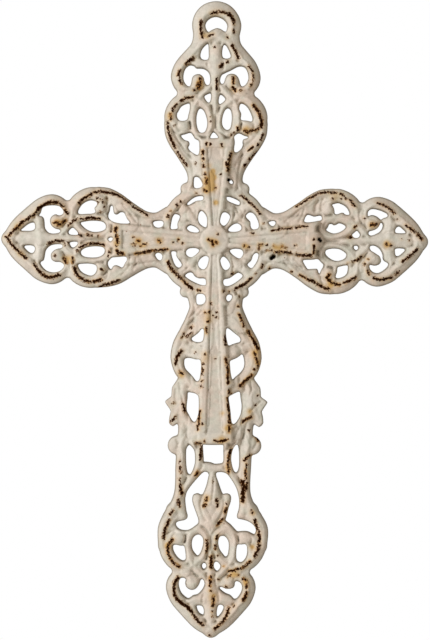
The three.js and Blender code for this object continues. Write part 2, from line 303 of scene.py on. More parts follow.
# Terminal of every arm, one side: first number outward from the hub, second sideways
TERMINAL = [
    bar([(113.4, 0), (108.8, 7.7), (100, 15.8), (95.6, 19.3), (90, 21.3), (85.5, 20), (82.6, 16.6),
         (82.9, 12.2), (86.6, 9.6)], [3.5, 3.5, 3.7, 3.6, 3.4, 3.3, 3, 2.9, 3],
        [BAND, RIM, RIM, BAND, BAND], 0.25, TIP_RUN, lined=LINE_DEEP),
    strand([(84.4, 3), (76, 10.4), (70, 12.4), (64, 12.4), (59.3, 10.6), (57.6, 7.2), (58.9, 4.4), (62, 2.5),
            (66.5, 2.3), (71, 3.5), (75, 6.5), (80.4, 14)],
           [2.5, 2.3, 2, 1.9, 1.9, 2, 2.3, 2.4, 2.3, 2.4, 2.6, 2.5], [LEAF, STRAND, STRAND, STRAND, LEAF],
           LINE_DEEP),
    bar([(79.8, 12), (78.6, 16.5), (75.7, 21.1), (71.3, 24.1), (66.2, 24.6), (62.8, 21.4), (62.2, 17.6),
         (61.6, 14)], [2.6, 3.3, 3.5, 3.35, 3.5, 3.6, 3.8, 2.6], [STRAND, BAND, BAND, 7, 7.2, WEB], 0.1,
        lined=LINE_DEEP),
    bar([(95.6, 0), (96.2, 6), (96.9, 12)], [4.4, 2.9, 2.6], [STRAND, STRAND, LEAF]),
]
TERMINAL_PLATE = [(85, 2.8), (86.5, 8), (84, 12), (84.8, 16.5), (84.4, 20.6), (80.5, 21.2), (76.4, 20.4),
                  (77.2, 14.2), (79.2, 9.4), (80.6, 6.2)]
STEM = bar([(60.5, 0), (67, 0), (73, 0), (87, 0), (93, 0), (97, 0), (105, 0), (112, 0)],
           [1.1, 1.5, 2.3, 2.4, 4.2, 4.6, 3.8, 1.6], [WEB, WEB, 7, 7, 7, 7, LEAF], lined=LINE_DEEP)
BALL = ([86.7, 9.6], 4.1)
BULB = ([62.8, 17.3], 3.7)

# Leaf stem from the wheel to the lobe, its toothed plate and the flutes on it
LOBE_LEAF = [
    bar([(26.4, 15.4), (31.5, 12.9), (36, 12.6), (41, 14.4), (47, 18.2), (53, 22.3), (58.6, 24.8),
         (63.6, 25.4)],
        [2.8, 2.5, 2.8, 2.9, 2.9, 2.9, 3, 2.9], [LEAF, STRAND, 7, BAND, BAND, STRAND], 0.1),
    strand([(35.5, 9.8), (41, 10.2), (46.2, 9.6)], [2.2, 3.0, 1.6], [5, WEB, 4.6]),
    strand([(36.5, 11.2), (43, 13.4), (48.4, 13.2)], [2.4, 2.8, 1.7], [5, 5.9, 4.8]),
    strand([(41, 14), (47.5, 17.4), (51.6, 17.6), (53.4, 16.8)], [2.4, 2.8, 2.6, 2.0], [5, 6, 5.6, 4.8]),
    strand([(49, 19), (54, 21), (57.5, 21.8)], [2.4, 2.6, 1.8], [5, WEB, 5]),
]
LEAF_PLATE = [(34.8, 5), (46.5, 5), (47.6, 11), (49.6, 11.6), (50.2, 14.8), (54.4, 15.2), (56, 18.4),
              (59.6, 20.2), (60, 24.6), (47, 18), (35, 12)]

# Hanging loop, sideways and up
LOOP = bar([(-10.4, 107.5), (-9.2, 113), (-9.3, 118.6), (-7.9, 122.9), (-4.6, 126.2), (0, LOOP_CROWN),
            (4.6, 126.2), (8, 122.9), (9.7, 118.6), (9.3, 113), (10.4, 107.5)],
           [3, 3.5, 3.9, 4.1, 4.2, 4.2, 4.2, 4.2, 4.2, 3.6, 3],
           [7, BAND, RIM, RIM, RIM, RIM, RIM, BAND, 7], -0.25)

# One quarter of the wheel's tracery
FOIL = strand([(4.2, 19.8), (9, 18.1), (12.3, 14.6), (11.6, 11.2), (6.6, 6.6)], [2.6, 2.9, 3, 2.8, 2.2],
              [LEAF, STRAND, STRAND, LEAF], FAINT_LINE)
WHEEL_LEAF = bar([(6.5, 6.5), (10.5, 10.5), (14.5, 14.5), (19.4, 19.4)], [2.6, 3.2, 4.2, 3.8],
                 [WEB, LEAF, STRAND, LEAF])

# One side of the lower shaft: sideways from its middle line, and up
SHAFT = [
    bar([(13, -29), (12.2, -36.5), (14.2, -43.5), (17.2, -50.5), (19.9, -57.5), (20.8, -64.5), (18.9, -71.5),
         (14.4, -77), (9.2, -82.8)], [3, 2.4, 2.8, 3.2, 4, 4.3, 4, 3.2, 2.4],
        [STRAND, 7, BAND, BAND, 7.4, 8.4], 0.4),
    bar([(7.6, -37.6), (8.6, -43.5), (12.3, -49.2), (18, -57)], [3.2, 3.6, 2.7, 2.2],
        [8.4, 8.2, 7.6, LEAF], lined=FAINT_LINE),
    bar([(6.5, -61.2), (10.5, -60.8), (15, -59.2), (18.5, -58.5)], [4, 3.9, 2.9, 2.2],
        [8.8, 8.4, 7.4, LEAF], lined=FAINT_LINE),
    bar([(17.2, -76.5), (18.7, -83), (18.7, -90), (17.6, -97), (17, -103)], [3, 4.4, 4.8, 4, 2.7],
        [LEAF, STRAND, 7, STRAND, LEAF]),
    bar([(18.2, -95), (14.6, -101), (11.6, -106.2), (9.8, -109.8)], [2.6, 3.4, 3.8, 3], [STRAND, 7.6, 8.6],
        lined=FAINT_LINE),
    bar([(9.8, -110), (7.9, -116.5), (8, -122.5), (10.5, -128.5), (16.8, -140)], [2.8, 2.4, 2.5, 2.5, 2.1],
        [STRAND, STRAND, STRAND, LEAF], lined=LINE_DEEP),
    bar([(17.2, -101), (17.5, -109), (17.7, -124), (17.8, -138), (19.8, -146), (23.2, -152.5), (25.8, -159),
         (25.8, -168)], [2.6, 3.1, 3.1, 3.1, 3.5, 3.9, 3.5, 2.9], [STRAND, BAND, RIM, RIM, BAND, 7], 0.25),
    bar([(17.5, -144), (17.2, -148.2), (15.8, -151)], [2.9, 3, 2], [STRAND, LEAF, WEB]),
    bar([(22, -148), (20, -151.2)], [3, 2.2], [WEB, WEB]),
    bar([(0, -156), (4.5, -150), (7.8, -143.5), (8.7, -141.6)], [3.5, 3.6, 2.8, 1.9], [LEAF, STRAND, WEB, 5]),
    strand([(18.8, -78.6), (21.4, -82), (21.8, -85.5)], [2.4, 2.4, 1.8], [5, WEB, 5]),
    strand([(19, -86), (23, -89.2), (26.2, -89)], [3.0, 2.6, 0.8], [LEAF, WEB, 5]),
    strand([(19.5, -92), (22.5, -97), (23.4, -100.4)], [3.0, 2.4, 1.6], [LEAF, WEB, 5]),
]
SHAFT_KNOB = ([20.4, -112.8], 5.2)
SHAFT_BALL = ([9.8, -61.4], 4.1)
SHAFT_PLATE = [(17.5, -76.5), (20.4, -76.8), (23.8, -81), (24.1, -85.8), (27.6, -88.9), (24.4, -94.3),
               (25.2, -100.2), (23.2, -102.3), (20.6, -100.8), (17.5, -100)]
SHAFT_WEB = [(6.4, -30.5), (12.6, -30.5), (13.2, -37), (14.6, -43.5), (17.2, -50.4), (13.2, -50.6),
             (8.2, -47.6), (6.4, -48)]
SHAFT_MIDDLE = [
    bar([(-7, -124.8), (0, -125.2), (7, -124.8)], [2.1, 2.1], [LEAF, LEAF]),
    bar([(0, -127), (0, -133), (0, -139.5), (0, -147), (0, -157), (0, -164)], [1.1, 2.9, 5, 5.8, 5.6, 2.4],
        [WEB, LEAF, STRAND, STRAND, LEAF, WEB]),
]

# Openings read from the photograph, each a closed curve, from the hub
OPENINGS = [
    # Wheel: drops, then slots
    [(-7, 16.3), (-4.6, 13.3), (-4.4, 8.6), (-5.3, 7.2), (-8.3, 9.4), (-9.2, 12.6), (-8.5, 15.4)],
    [(-15.3, 7), (-13.5, 8.3), (-10.8, 7.4), (-8.7, 5.5), (-9.4, 4.2), (-12.6, 4.4), (-14.7, 5.5)],
    [(5.6, 15.7), (7.9, 14.4), (8.3, 12.4), (6.5, 9.2), (4.6, 8.2), (3, 10.3), (3.8, 14.6)],
    [(7.6, 6.1), (9.8, 8.5), (12.6, 9.4), (14.6, 7.8), (14.2, 5.8), (11.8, 4.8), (8.6, 4.9)],
    [(-15.6, -6.4), (-14.2, -4.7), (-10.8, -4.3), (-8.6, -5.3), (-9.4, -7), (-12.6, -9.3), (-15, -8.4)],
    [(-4.9, -8.5), (-3.1, -9.8), (-4, -14), (-5.9, -16), (-8.2, -14.9), (-8.9, -12.6), (-7.5, -10)],
    [(8.4, -5.5), (10.9, -4.5), (14.6, -4.9), (15.8, -6.9), (14.6, -9.3), (13, -9.6), (9.8, -7.6)],
    [(4.7, -8.8), (6.9, -10.2), (8.6, -13.3), (7.7, -15.6), (5.8, -16.3), (4.1, -14.4), (3.2, -10.9)],
    [(-21.7, 14.4), (-19.2, 13.2), (-20.5, 9.1), (-20.4, 6.6), (-22, 6), (-24.2, 6.4), (-23.8, 10.5),
     (-23, 13.2)],
    [(-15.4, 19.9), (-14, 21.7), (-10.8, 23.8), (-7.1, 24.4), (-6.4, 23.1), (-7.1, 22), (-10.5, 21.6),
     (-14, 19.5)],
    [(7, 24.1), (10.2, 23.4), (13.6, 21.6), (13.3, 19.6), (10.5, 20.2), (7.4, 21.6), (6.5, 23)],
    [(17, 13.3), (18.9, 15.6), (21.4, 15), (23.1, 12.6), (24.3, 9.1), (23.7, 6.7), (21, 6.1), (19.7, 7.7),
     (19.4, 10.4)],
    [(-23.9, -7), (-22.5, -6), (-21, -6.8), (-20.9, -9.1), (-18.1, -13.2), (-18.9, -14.8), (-20.3, -14.9),
     (-22, -12.8)],
    [(-16.1, -19.4), (-14, -17.8), (-12.2, -18), (-10.8, -19.8), (-8.7, -20.9), (-5.2, -21.2), (-4.7, -24.4),
     (-7, -24.6), (-10.5, -23.3), (-14, -21.4)],
    [(5.2, -21.6), (8.4, -20.7), (11.2, -18.8), (13.3, -17.7), (15.5, -19.2), (14, -21.2), (10.5, -23.7),
     (7.4, -25.1), (5.2, -24.5)],
    [(18.1, -13.2), (20.2, -10.9), (21.2, -8.1), (22.8, -6.7), (24.2, -7.4), (23.7, -10.2), (22.1, -13.3),
     (20.3, -15.2)],
    # Beside the wheel
    [(-33.8, 8.8), (-33.4, 10.2), (-29.6, 10.7), (-28.2, 9.6), (-28.4, 8), (-29.4, 7), (-31.2, 6.7),
     (-32.8, 7.3)],
    [(-32.6, -8.2), (-31.6, -7.1), (-30, -7.3), (-28.8, -8.6), (-29, -10.3), (-30, -11.1), (-31.4, -10.3)],
    [(29.7, 10.2), (32.4, 11), (33.5, 10), (32.2, 8.1), (30.6, 8.6)],
    [(-11.5, 34), (-10.4, 35), (-8.6, 34.2), (-6.9, 30.9), (-8, 29), (-11.3, 29)],
    [(8.9, 33.4), (10, 31.8), (9, 30.9), (7.8, 32.1)],
    [(-9.9, -32.8), (-9.7, -30.2), (-8.4, -29.5), (-6.3, -29.6), (-5, -31), (-5, -33.6), (-6.6, -35.2),
     (-9.3, -35.2)],
    [(6.8, -31), (7.8, -29.8), (9.6, -30.3), (9.4, -32), (8, -33.4), (6.9, -32.6)],
    # Top arm
    [(0, 123.2), (3.9, 121.8), (6, 119), (5.8, 116), (5, 115), (2.8, 116.2), (0.4, 116.9), (-2.4, 115.8),
     (-4.3, 114.8), (-5.7, 117.2), (-5.6, 119.7), (-3.5, 122.1)],
    [(-4.2, 108), (-5.4, 107.8), (-7.7, 105), (-8.6, 101.8), (-7.8, 99.8), (-5.6, 99.3), (-4.2, 100.2),
     (-4, 103.6)],
    [(4.4, 107.7), (6, 106.7), (7.9, 102.9), (8, 101), (6.3, 100.1), (3.8, 100.8), (3.5, 104.3)],
    [(-11.9, 95.9), (-10.7, 94.7), (-7, 94.5), (-4.5, 93.1), (-3.3, 91), (-3.1, 88.2), (-3.6, 86),
     (-4.9, 85.6), (-6, 87.2), (-6.7, 89.6), (-8.7, 91.4), (-11.2, 91.2), (-12.9, 89.6), (-13.4, 86.8),
     (-14.2, 84.7), (-15.8, 85), (-17.5, 87.5), (-17.8, 91), (-16.7, 94.5), (-14.3, 96.4)],
    [(14, 96), (11.6, 95.5), (8.4, 93.8), (5.3, 92.4), (3.2, 91), (2.5, 88.2), (3.2, 86.3), (4.3, 86.8),
     (5.2, 89.2), (6.3, 91), (8.4, 91.8), (10.9, 91.3), (12.6, 89.2), (13.3, 86.6), (14.1, 84.9), (15.5, 85),
     (17.2, 86.8), (18, 89.6), (17.5, 92.7), (16.1, 95.2)],
    [(-6.2, 79.2), (-4.3, 80.7), (-2.6, 80.9), (-2.6, 77.6), (-3.6, 75.8), (-4.8, 76.4)],
    [(2.8, 80.3), (5.2, 78), (3.6, 75.8), (2, 75.2), (1.8, 78)],
    [(-14.4, 75.4), (-16.6, 75), (-18.9, 73.7), (-20.3, 71.4), (-21.2, 69.6), (-21, 67.6), (-19.8, 65.9),
     (-17.6, 65.6), (-15.6, 66.4), (-14.8, 69.2), (-14.1, 72.4)],
    [(-8.3, 72.8), (-6.4, 71.4), (-5, 67.9), (-4.5, 64.1), (-5.3, 60.6), (-7, 59.1), (-9, 59.8),
     (-10.3, 63.4), (-10.5, 67.9), (-9.7, 71.4)],
    [(7, 72.8), (8.4, 71.4), (9, 67.9), (8.7, 64.1), (8, 61.8), (6.4, 60.9), (4.6, 62.1), (3.7, 64.7),
     (4.1, 68.6), (5.4, 71.8)],
    [(13.7, 75.2), (15.4, 75.2), (17.6, 73.4), (19.3, 70.5), (20.3, 67.3), (19.8, 65.6), (17.3, 66),
     (14, 66.5), (14.2, 69.8), (13.1, 72.4)],
    [(-1, 59.6), (0.6, 58.3), (1.6, 56.4), (-0.6, 56), (-2.8, 56.2), (-2.2, 58.3)],
    [(-18.9, 57.6), (-16.6, 58.4), (-13.8, 59.2), (-12.5, 58), (-11.2, 56), (-9.2, 54.8), (-8.9, 51.9),
     (-8.9, 48.3), (-9.9, 46.8), (-12.2, 48), (-14.1, 49.6), (-14.8, 51.3), (-14.1, 52.9), (-14.7, 54.5),
     (-17, 55.3)],
    [(10.4, 57.2), (12.2, 58.9), (13.8, 58.9), (15.7, 58), (18, 57.3), (17.6, 56.3), (15.7, 55.8), (15, 54.5),
     (15.2, 52.9), (14.7, 51.2), (13.8, 49.9), (12.2, 48.6), (10.6, 48.6), (10.3, 50.6), (10.7, 53.8)],
    # Left arm
    [(-107, 4.7), (-105.6, 6.2), (-102.5, 8.6), (-100, 9.3), (-98.9, 8.2), (-99, 5.7), (-101.1, 4.7),
     (-103.9, 4.6)],
    [(-105, -3.9), (-102.5, -3.4), (-100, -3.8), (-98.9, -5.1), (-99.6, -7.1), (-101.1, -7.5),
     (-103.2, -6.2)],
    [(-96.9, 13), (-95.9, 14.8), (-95.1, 17.3), (-93, 18.4), (-89.9, 18.8), (-86.4, 18.6), (-84.3, 17.2),
     (-83.1, 15.2), (-83.9, 13.6), (-85.7, 13.1), (-87.8, 13.7), (-89.9, 12.4), (-90.7, 10.3), (-90, 7.8),
     (-88.1, 6.1), (-86, 5.6), (-84.9, 4.9), (-85.1, 3.9), (-87.1, 3.2), (-89.9, 3.2), (-92, 4.2),
     (-93.5, 6.4), (-93.7, 8.9), (-94.1, 11.3), (-95.1, 12.6)],
    [(-93.5, -8.6), (-92.7, -5.8), (-90.6, -3.6), (-87.8, -2.7), (-84.6, -2.7), (-83.5, -3.6), (-84.3, -4.8),
     (-86.4, -5.2), (-88.5, -6.2), (-90, -8.3), (-89.6, -11.1), (-87.8, -12.4), (-85, -12.6), (-82.9, -13.9),
     (-83.1, -15.6), (-85.3, -17.5), (-88.5, -18.2), (-91.6, -17.6), (-93.7, -16.3), (-95.5, -14.2),
     (-95.9, -12.5), (-94.2, -11.4)],
    [(-80.5, 4.2), (-79.4, 5.9), (-78.1, 6.5), (-76.6, 5.3), (-75.3, 3.6), (-75.7, 2.6), (-79.6, 2.8)],
    [(-79.9, -1.9), (-78, -1.2), (-75.6, -1.4), (-75.5, -2.7), (-77.2, -4.3), (-78.8, -4.2)],
    [(-75.5, 15.1), (-74.5, 17.6), (-72.4, 20.1), (-68.9, 21.6), (-66.1, 21.2), (-64.8, 20.1), (-65.2, 18.7),
     (-66.3, 17.3), (-65.8, 15.2), (-67.5, 14.3), (-71, 14), (-74.2, 13.9)],
    [(-74, 9.2), (-71.7, 10), (-68.2, 10.5), (-64, 10.4), (-61.2, 9.6), (-59.9, 7.8), (-60.4, 5.7),
     (-63.3, 4.4), (-66.8, 4.2), (-69.9, 5.3), (-72.4, 7.1)],
    [(-73.5, -6.3), (-71, -4.5), (-66.8, -3.6), (-62.6, -3.8), (-60.6, -5.1), (-60.9, -7.6), (-63.3, -9.4),
     (-66.8, -9.9), (-71, -9.5), (-73.2, -8.3)],
    [(-75, -13.8), (-72.4, -13.3), (-68.2, -13.3), (-65.3, -14.2), (-64.7, -16.3), (-65.7, -18.5),
     (-67.8, -19.8), (-71, -19), (-73.4, -17.5), (-74.7, -15.6)],
    [(-58.6, 0.4), (-57.6, 1.2), (-56.4, 1), (-56, 0.2), (-57, -0.9), (-58, -0.5)],
    [(-57, 18.9), (-57.7, 18), (-58, 16), (-58.7, 14), (-58.6, 12.2), (-57.6, 10.9), (-55.6, 9.7),
     (-52.8, 9.1), (-50, 8.9), (-47.2, 9), (-47, 9.8), (-48.2, 11.3), (-49.2, 13.4), (-50, 14.9),
     (-51.2, 15.3), (-52.4, 15), (-53.4, 14.2), (-54.4, 14), (-55.4, 14.6), (-55.8, 16.2), (-56.1, 18.2)],
    [(-58.7, -12.6), (-58, -11.3), (-56.6, -9.9), (-55.2, -9.6), (-52.4, -9.3), (-49.6, -9.1), (-48.3, -9.7),
     (-48.1, -11.2), (-49.2, -13), (-50.2, -14.8), (-51.2, -15.3), (-52.6, -14.5), (-54.4, -14),
     (-55.8, -14.6), (-56.8, -16.1), (-57.7, -15.6), (-58.5, -14.2)],
    # Right arm
    [(99.4, 6.4), (100.4, 7.9), (101.8, 8.3), (103.6, 6.9), (105.2, 5.3), (104.3, 4.7), (101.1, 4.7),
     (99.6, 5.1)],
    [(99.5, -4.1), (101.8, -3.6), (104.8, -4.1), (103.9, -5.8), (101.5, -7.7), (99.8, -7.7), (99.3, -5.8)],
    [(84.4, 13.9), (84.2, 15.6), (84.8, 16.9), (86.4, 17.8), (88.3, 17.8), (90.7, 17.2), (92.8, 16.4),
     (94.6, 15.4), (95.2, 14.4), (94.4, 13.5), (92.8, 13), (91.4, 12.1), (90, 13.2), (88.7, 14), (86.9, 14.6),
     (85.4, 14.4)],
    [(91.6, 10.5), (92.4, 9.7), (92.5, 8.5), (92, 6.9), (90.7, 5.4), (89, 4.4), (86.9, 3.5), (85.3, 3.5),
     (84.7, 4.5), (85.4, 5.6), (87.3, 6.1), (89, 6.9), (90.2, 8.1), (90.9, 9.5)],
    [(85.4, -3.5), (85.9, -2.5), (87.6, -2.3), (89.4, -3), (90.9, -4.2), (92, -5.9), (92.6, -7.6),
     (92.7, -9.4), (93.5, -10.7), (95.1, -11.6), (95.7, -12.5), (95.1, -13.9), (93.7, -15.3), (91.8, -16.6),
     (89.7, -17.3), (87.6, -16.9), (86, -15.6), (85.3, -14.2), (85.3, -13.1), (86.2, -12.8), (88.3, -13.2),
     (90.4, -12.6), (91.5, -11.3), (91.5, -9.7), (90.8, -8.1), (89, -6.8), (87.3, -5.7), (86.1, -5)],
    [(75.6, 3.5), (76.4, 4.4), (78.3, 5.9), (79.2, 5), (80, 3.8), (79.5, 2.5), (77.9, 1.8), (76.4, 2.2)],
    [(76.6, -3.1), (76.9, -2.5), (78.3, -2.3), (79.1, -2.9), (79, -4.1), (77.9, -4.8), (76.8, -4.1)],
    [(64.5, 20), (66, 20.7), (67.9, 21.1), (69.6, 20.6), (71.3, 19.7), (72.9, 18.3), (74, 16.3), (74.2, 14.8),
     (72.9, 14.5), (71.5, 14.9), (70.8, 15.7), (69.3, 15.7), (67.7, 15), (66.1, 15.1), (65.9, 16.3),
     (65.5, 18.2)],
    [(61.5, 6.1), (62.1, 7.1), (62.7, 8.4), (63.2, 9.3), (64.4, 9.5), (65.8, 8.8), (67.2, 9.3), (68.2, 9.9),
     (69.6, 9.8), (71.2, 9.1), (72.1, 8.3), (71.9, 7.3), (70.6, 6.1), (68.9, 5.1), (67.2, 4.5), (65.4, 4.3),
     (63.7, 4.8)],
    [(61, -6.9), (61, -5.5), (62, -4.6), (64.1, -4.1), (66.5, -4.1), (68.6, -4.4), (70.6, -5.3), (72.5, -6.8),
     (72.5, -8.1), (71.5, -9.4), (69.6, -10.3), (67.2, -10.7), (65.1, -10.3), (63.4, -9.4), (61.8, -8.1)],
    [(67.9, -14.5), (69.6, -13.9), (71.7, -13.4), (73.3, -13.4), (73.5, -14.6), (73.1, -17.3), (72, -18.8),
     (70.1, -19.8), (68.2, -20.3), (66.9, -20), (66.8, -18.9), (67.5, -17)],
    [(49.2, 10.7), (49.7, 12.8), (51, 14.4), (52.4, 14.3), (54.8, 13.5), (57.2, 14), (58.6, 13.9), (59, 12.4),
     (58.2, 11.5), (56.4, 11.1), (53.6, 10.5), (50.8, 10.2)],
    [(48.8, -10.8), (50, -10.4), (54, -10.2), (56.4, -9.8), (57.6, -10.3), (58.8, -11.6), (59.9, -12.6),
     (59.9, -14), (58.8, -16), (58, -17.9), (57.3, -17.4), (56.7, -15.6), (55.6, -15.2), (52.4, -15.4),
     (51.3, -15.3), (50, -13.5), (49, -11.8)],
    # Lower shaft
    [(-6.8, -48.7), (-5.7, -49.2), (-5.6, -52), (-5.9, -54.4), (-6.8, -55.7), (-8.8, -56.1), (-10.8, -55.7),
     (-12.1, -54.8), (-12.1, -53.7), (-10.8, -52.7), (-8.4, -50.7)],
    [(7.1, -48.3), (8.4, -48.7), (10.8, -50.7), (13.4, -52.7), (14.5, -54.2), (14.2, -55.7), (12.4, -56.3),
     (10, -57.1), (8.1, -57.7), (7.3, -55.6), (6.7, -52.4), (6.6, -49.5)],
    [(-16.1, -66), (-15, -65), (-12.8, -64.9), (-10, -65.5), (-7.9, -65.6), (-7.2, -66.8), (-7, -70),
     (-7.3, -73.2), (-7.9, -76.5), (-9, -77.6), (-10.1, -76.9), (-11.3, -75.3), (-13.4, -73), (-15.3, -71),
     (-16.1, -68.8)],
    [(15.2, -62.7), (16, -63.2), (16.7, -65.6), (16.9, -68), (16.3, -70.4), (14.4, -72.9), (12, -74.9),
     (10.4, -76.4), (9.8, -74.8), (9.3, -72.4), (9, -69.2), (8.9, -66.6), (10, -65.7), (12.4, -64.7),
     (14.2, -63.5)],
    [(-14.1, -83.9), (-12.4, -83.8), (-10, -84.4), (-8.5, -85.6), (-8.1, -88), (-8.1, -92), (-8.5, -95.6),
     (-9.3, -98.4), (-10.4, -99.9), (-11.8, -98.9), (-13.2, -96.4), (-14.5, -94), (-14.7, -91.2),
     (-14.3, -87.2)],
    [(13.8, -83.2), (14.5, -83.8), (14.9, -86.8), (15.5, -90.4), (15.3, -94), (14.5, -96.8), (12.8, -99.7),
     (11.2, -101), (10.2, -100.1), (9.7, -97.2), (9.3, -93.2), (8.7, -89.2), (8.4, -86.1), (10, -84.9),
     (12.4, -83.7)],
    [(-13.4, -112.9), (-12.2, -113.3), (-10.7, -115.2), (-10.1, -117.6), (-10, -120.4), (-10.3, -123.2),
     (-11.1, -126), (-12, -128.1), (-12.8, -128.9), (-13.9, -127.8), (-14.5, -124.8), (-14.8, -120),
     (-14.7, -115.2)],
    [(13, -112.2), (13.7, -113.2), (14.1, -116), (14.3, -120), (14.3, -124), (13.6, -126.7), (12.6, -127.7),
     (11.5, -126.7), (10.5, -124), (10, -120.4), (10.3, -117.2), (11.1, -114.3), (12.1, -112.7)],
    [(-5.6, -112.7), (-5, -112.3), (-2.2, -112.4), (2, -112.4), (4.9, -112.4), (5.5, -113), (5.5, -116),
     (5.6, -120.8), (5.1, -122.3), (3.6, -122.8), (0.8, -123), (-1.2, -122.3), (-4, -121.9), (-5, -121.9),
     (-5.1, -120), (-5.4, -116)],
    [(-4.3, -127.3), (-2.8, -127.8), (-2.3, -129.2), (-2.6, -130.7), (-3.4, -134.1), (-4.5, -137.1),
     (-5.6, -139.5), (-6.7, -139.9), (-8.1, -139.2), (-9.5, -139.4), (-10.8, -140.1), (-11.4, -141.8),
     (-11.2, -144.3), (-10.2, -147.3), (-8.7, -151.2), (-7.9, -153.7), (-8.1, -155.9), (-9.8, -157.4),
     (-11.9, -158.9), (-14.1, -159.7), (-17.1, -159.5), (-19, -158.5), (-20.1, -156.9), (-19.9, -155.5),
     (-18.3, -154.6), (-15.8, -154.1), (-14.2, -153.1), (-13.8, -151.6), (-14.4, -149.5), (-14.9, -146.5),
     (-15.2, -143.1), (-14.9, -140.9), (-14.1, -138.3), (-12.4, -135.7), (-9.8, -132.3), (-7.3, -129.5),
     (-5.5, -127.8)],
    [(1.7, -128.1), (3, -127.5), (5.5, -127.6), (7.7, -128.5), (9.4, -130.6), (11.1, -133.2), (12.7, -136.2),
     (13.7, -139.2), (14.4, -142.2), (14.6, -145.2), (14.2, -148.2), (13.3, -151.2), (13.6, -152.9),
     (15.4, -153.4), (18.3, -154.1), (20.9, -155.3), (22.9, -157.1), (23.8, -159.3), (23.1, -161.5),
     (21.8, -161.2), (19.6, -160.1), (17.1, -159.9), (14.5, -160.2), (13.4, -160.1), (11.9, -158.6),
     (9.8, -156.3), (8.1, -155), (7.1, -153.9), (7.8, -151.2), (8.7, -147.3), (9.8, -143.9), (10.1, -141.4),
     (9.4, -139.9), (7.7, -139.3), (5.8, -139.7), (5.1, -139), (4, -136.2), (2.8, -132.8), (1.8, -130.1)],
    # Bottom terminal
    [(-8.1, -162), (-6.6, -162.4), (-5.4, -164), (-5.2, -166.5), (-5.8, -169.5), (-6.8, -172.1),
     (-8.1, -173.6), (-9.4, -172.5), (-10.8, -170.4), (-11.3, -167.8), (-11, -164.8), (-9.8, -162.8)],
    [(5.5, -162.5), (7, -163), (8.4, -164.8), (9, -167.4), (8.8, -170.8), (8.3, -173.2), (7.2, -174.1),
     (6, -172.8), (4.2, -170.4), (3.3, -167.8), (3.2, -165.2), (4, -163)],
    [(-21.4, -168), (-20.1, -167.6), (-17.5, -168.1), (-15.7, -168.2), (-15, -170.8), (-14.7, -173.8),
     (-14.9, -175.8), (-16.2, -176.4), (-18, -175.6), (-19.7, -173.8), (-21, -171.6), (-21.6, -169.7)],
    [(13.8, -167.3), (15.8, -167.2), (17.7, -166.9), (18.9, -168), (19.2, -170.8), (18.9, -173.4),
     (17.8, -175.6), (16.2, -177), (14.5, -176.9), (13.3, -175.5), (13, -172.5), (13.2, -169.5)],
    [(-4.7, -177.5), (-3.5, -178.3), (-3.5, -180), (-4.7, -181), (-5.6, -180), (-5.6, -178.5)],
    [(1.7, -176.9), (3, -177.1), (4.3, -178.7), (4.2, -180.4), (2.8, -182), (1.4, -181), (0.8, -179.3),
     (1, -177.8)],
    [(-17.2, -185.8), (-15.5, -185.8), (-14.5, -186.8), (-14.9, -188.3), (-14.6, -190.2), (-13.4, -191.7),
     (-11.6, -192.4), (-9.7, -192.1), (-8.2, -190.8), (-7.1, -189), (-6.5, -187.2), (-5.6, -186.4),
     (-4.6, -187.4), (-4.3, -189.4), (-5, -191.5), (-6.5, -193.5), (-8.2, -194.9), (-10.5, -195.5),
     (-12.3, -196.8), (-13.4, -197.1), (-15, -196), (-16.7, -194.3), (-17.8, -192), (-18.4, -189.8),
     (-18.2, -187.2)],
    [(4.3, -190.9), (5.4, -190.8), (7.5, -191.6), (9.7, -191.6), (11.6, -190.9), (12.3, -189.6), (12.5, -188),
     (13.4, -187.4), (15, -188), (16.1, -189.4), (16.4, -191.3), (16, -193.3), (15, -195.2), (13.5, -197),
     (12.1, -197.3), (11, -196.2), (9.7, -195.1), (7.5, -194.2), (5.6, -192.9), (4.3, -191.7)],
    [(-8.4, -201.3), (-7.1, -201), (-5.6, -201.3), (-4.8, -202.5), (-4.5, -204.3), (-4.8, -206.1),
     (-5.8, -205.9), (-7.1, -205), (-8.1, -203)],
    [(3.7, -200.7), (5.2, -200.5), (6.3, -201.7), (5.9, -203.6), (4.8, -205.5), (3.4, -207.1), (2.7, -206.9),
     (2.6, -204.3), (3, -202)],
]

# Blind pits: place and radius
PITS = [((57.4, 0.9), 0.7), ((58.1, 0.2), 0.65), ((31.3, -9.7), 0.85), ((32.4, -8.8), 0.95),
        ((7.4, 33.2), 0.6)]

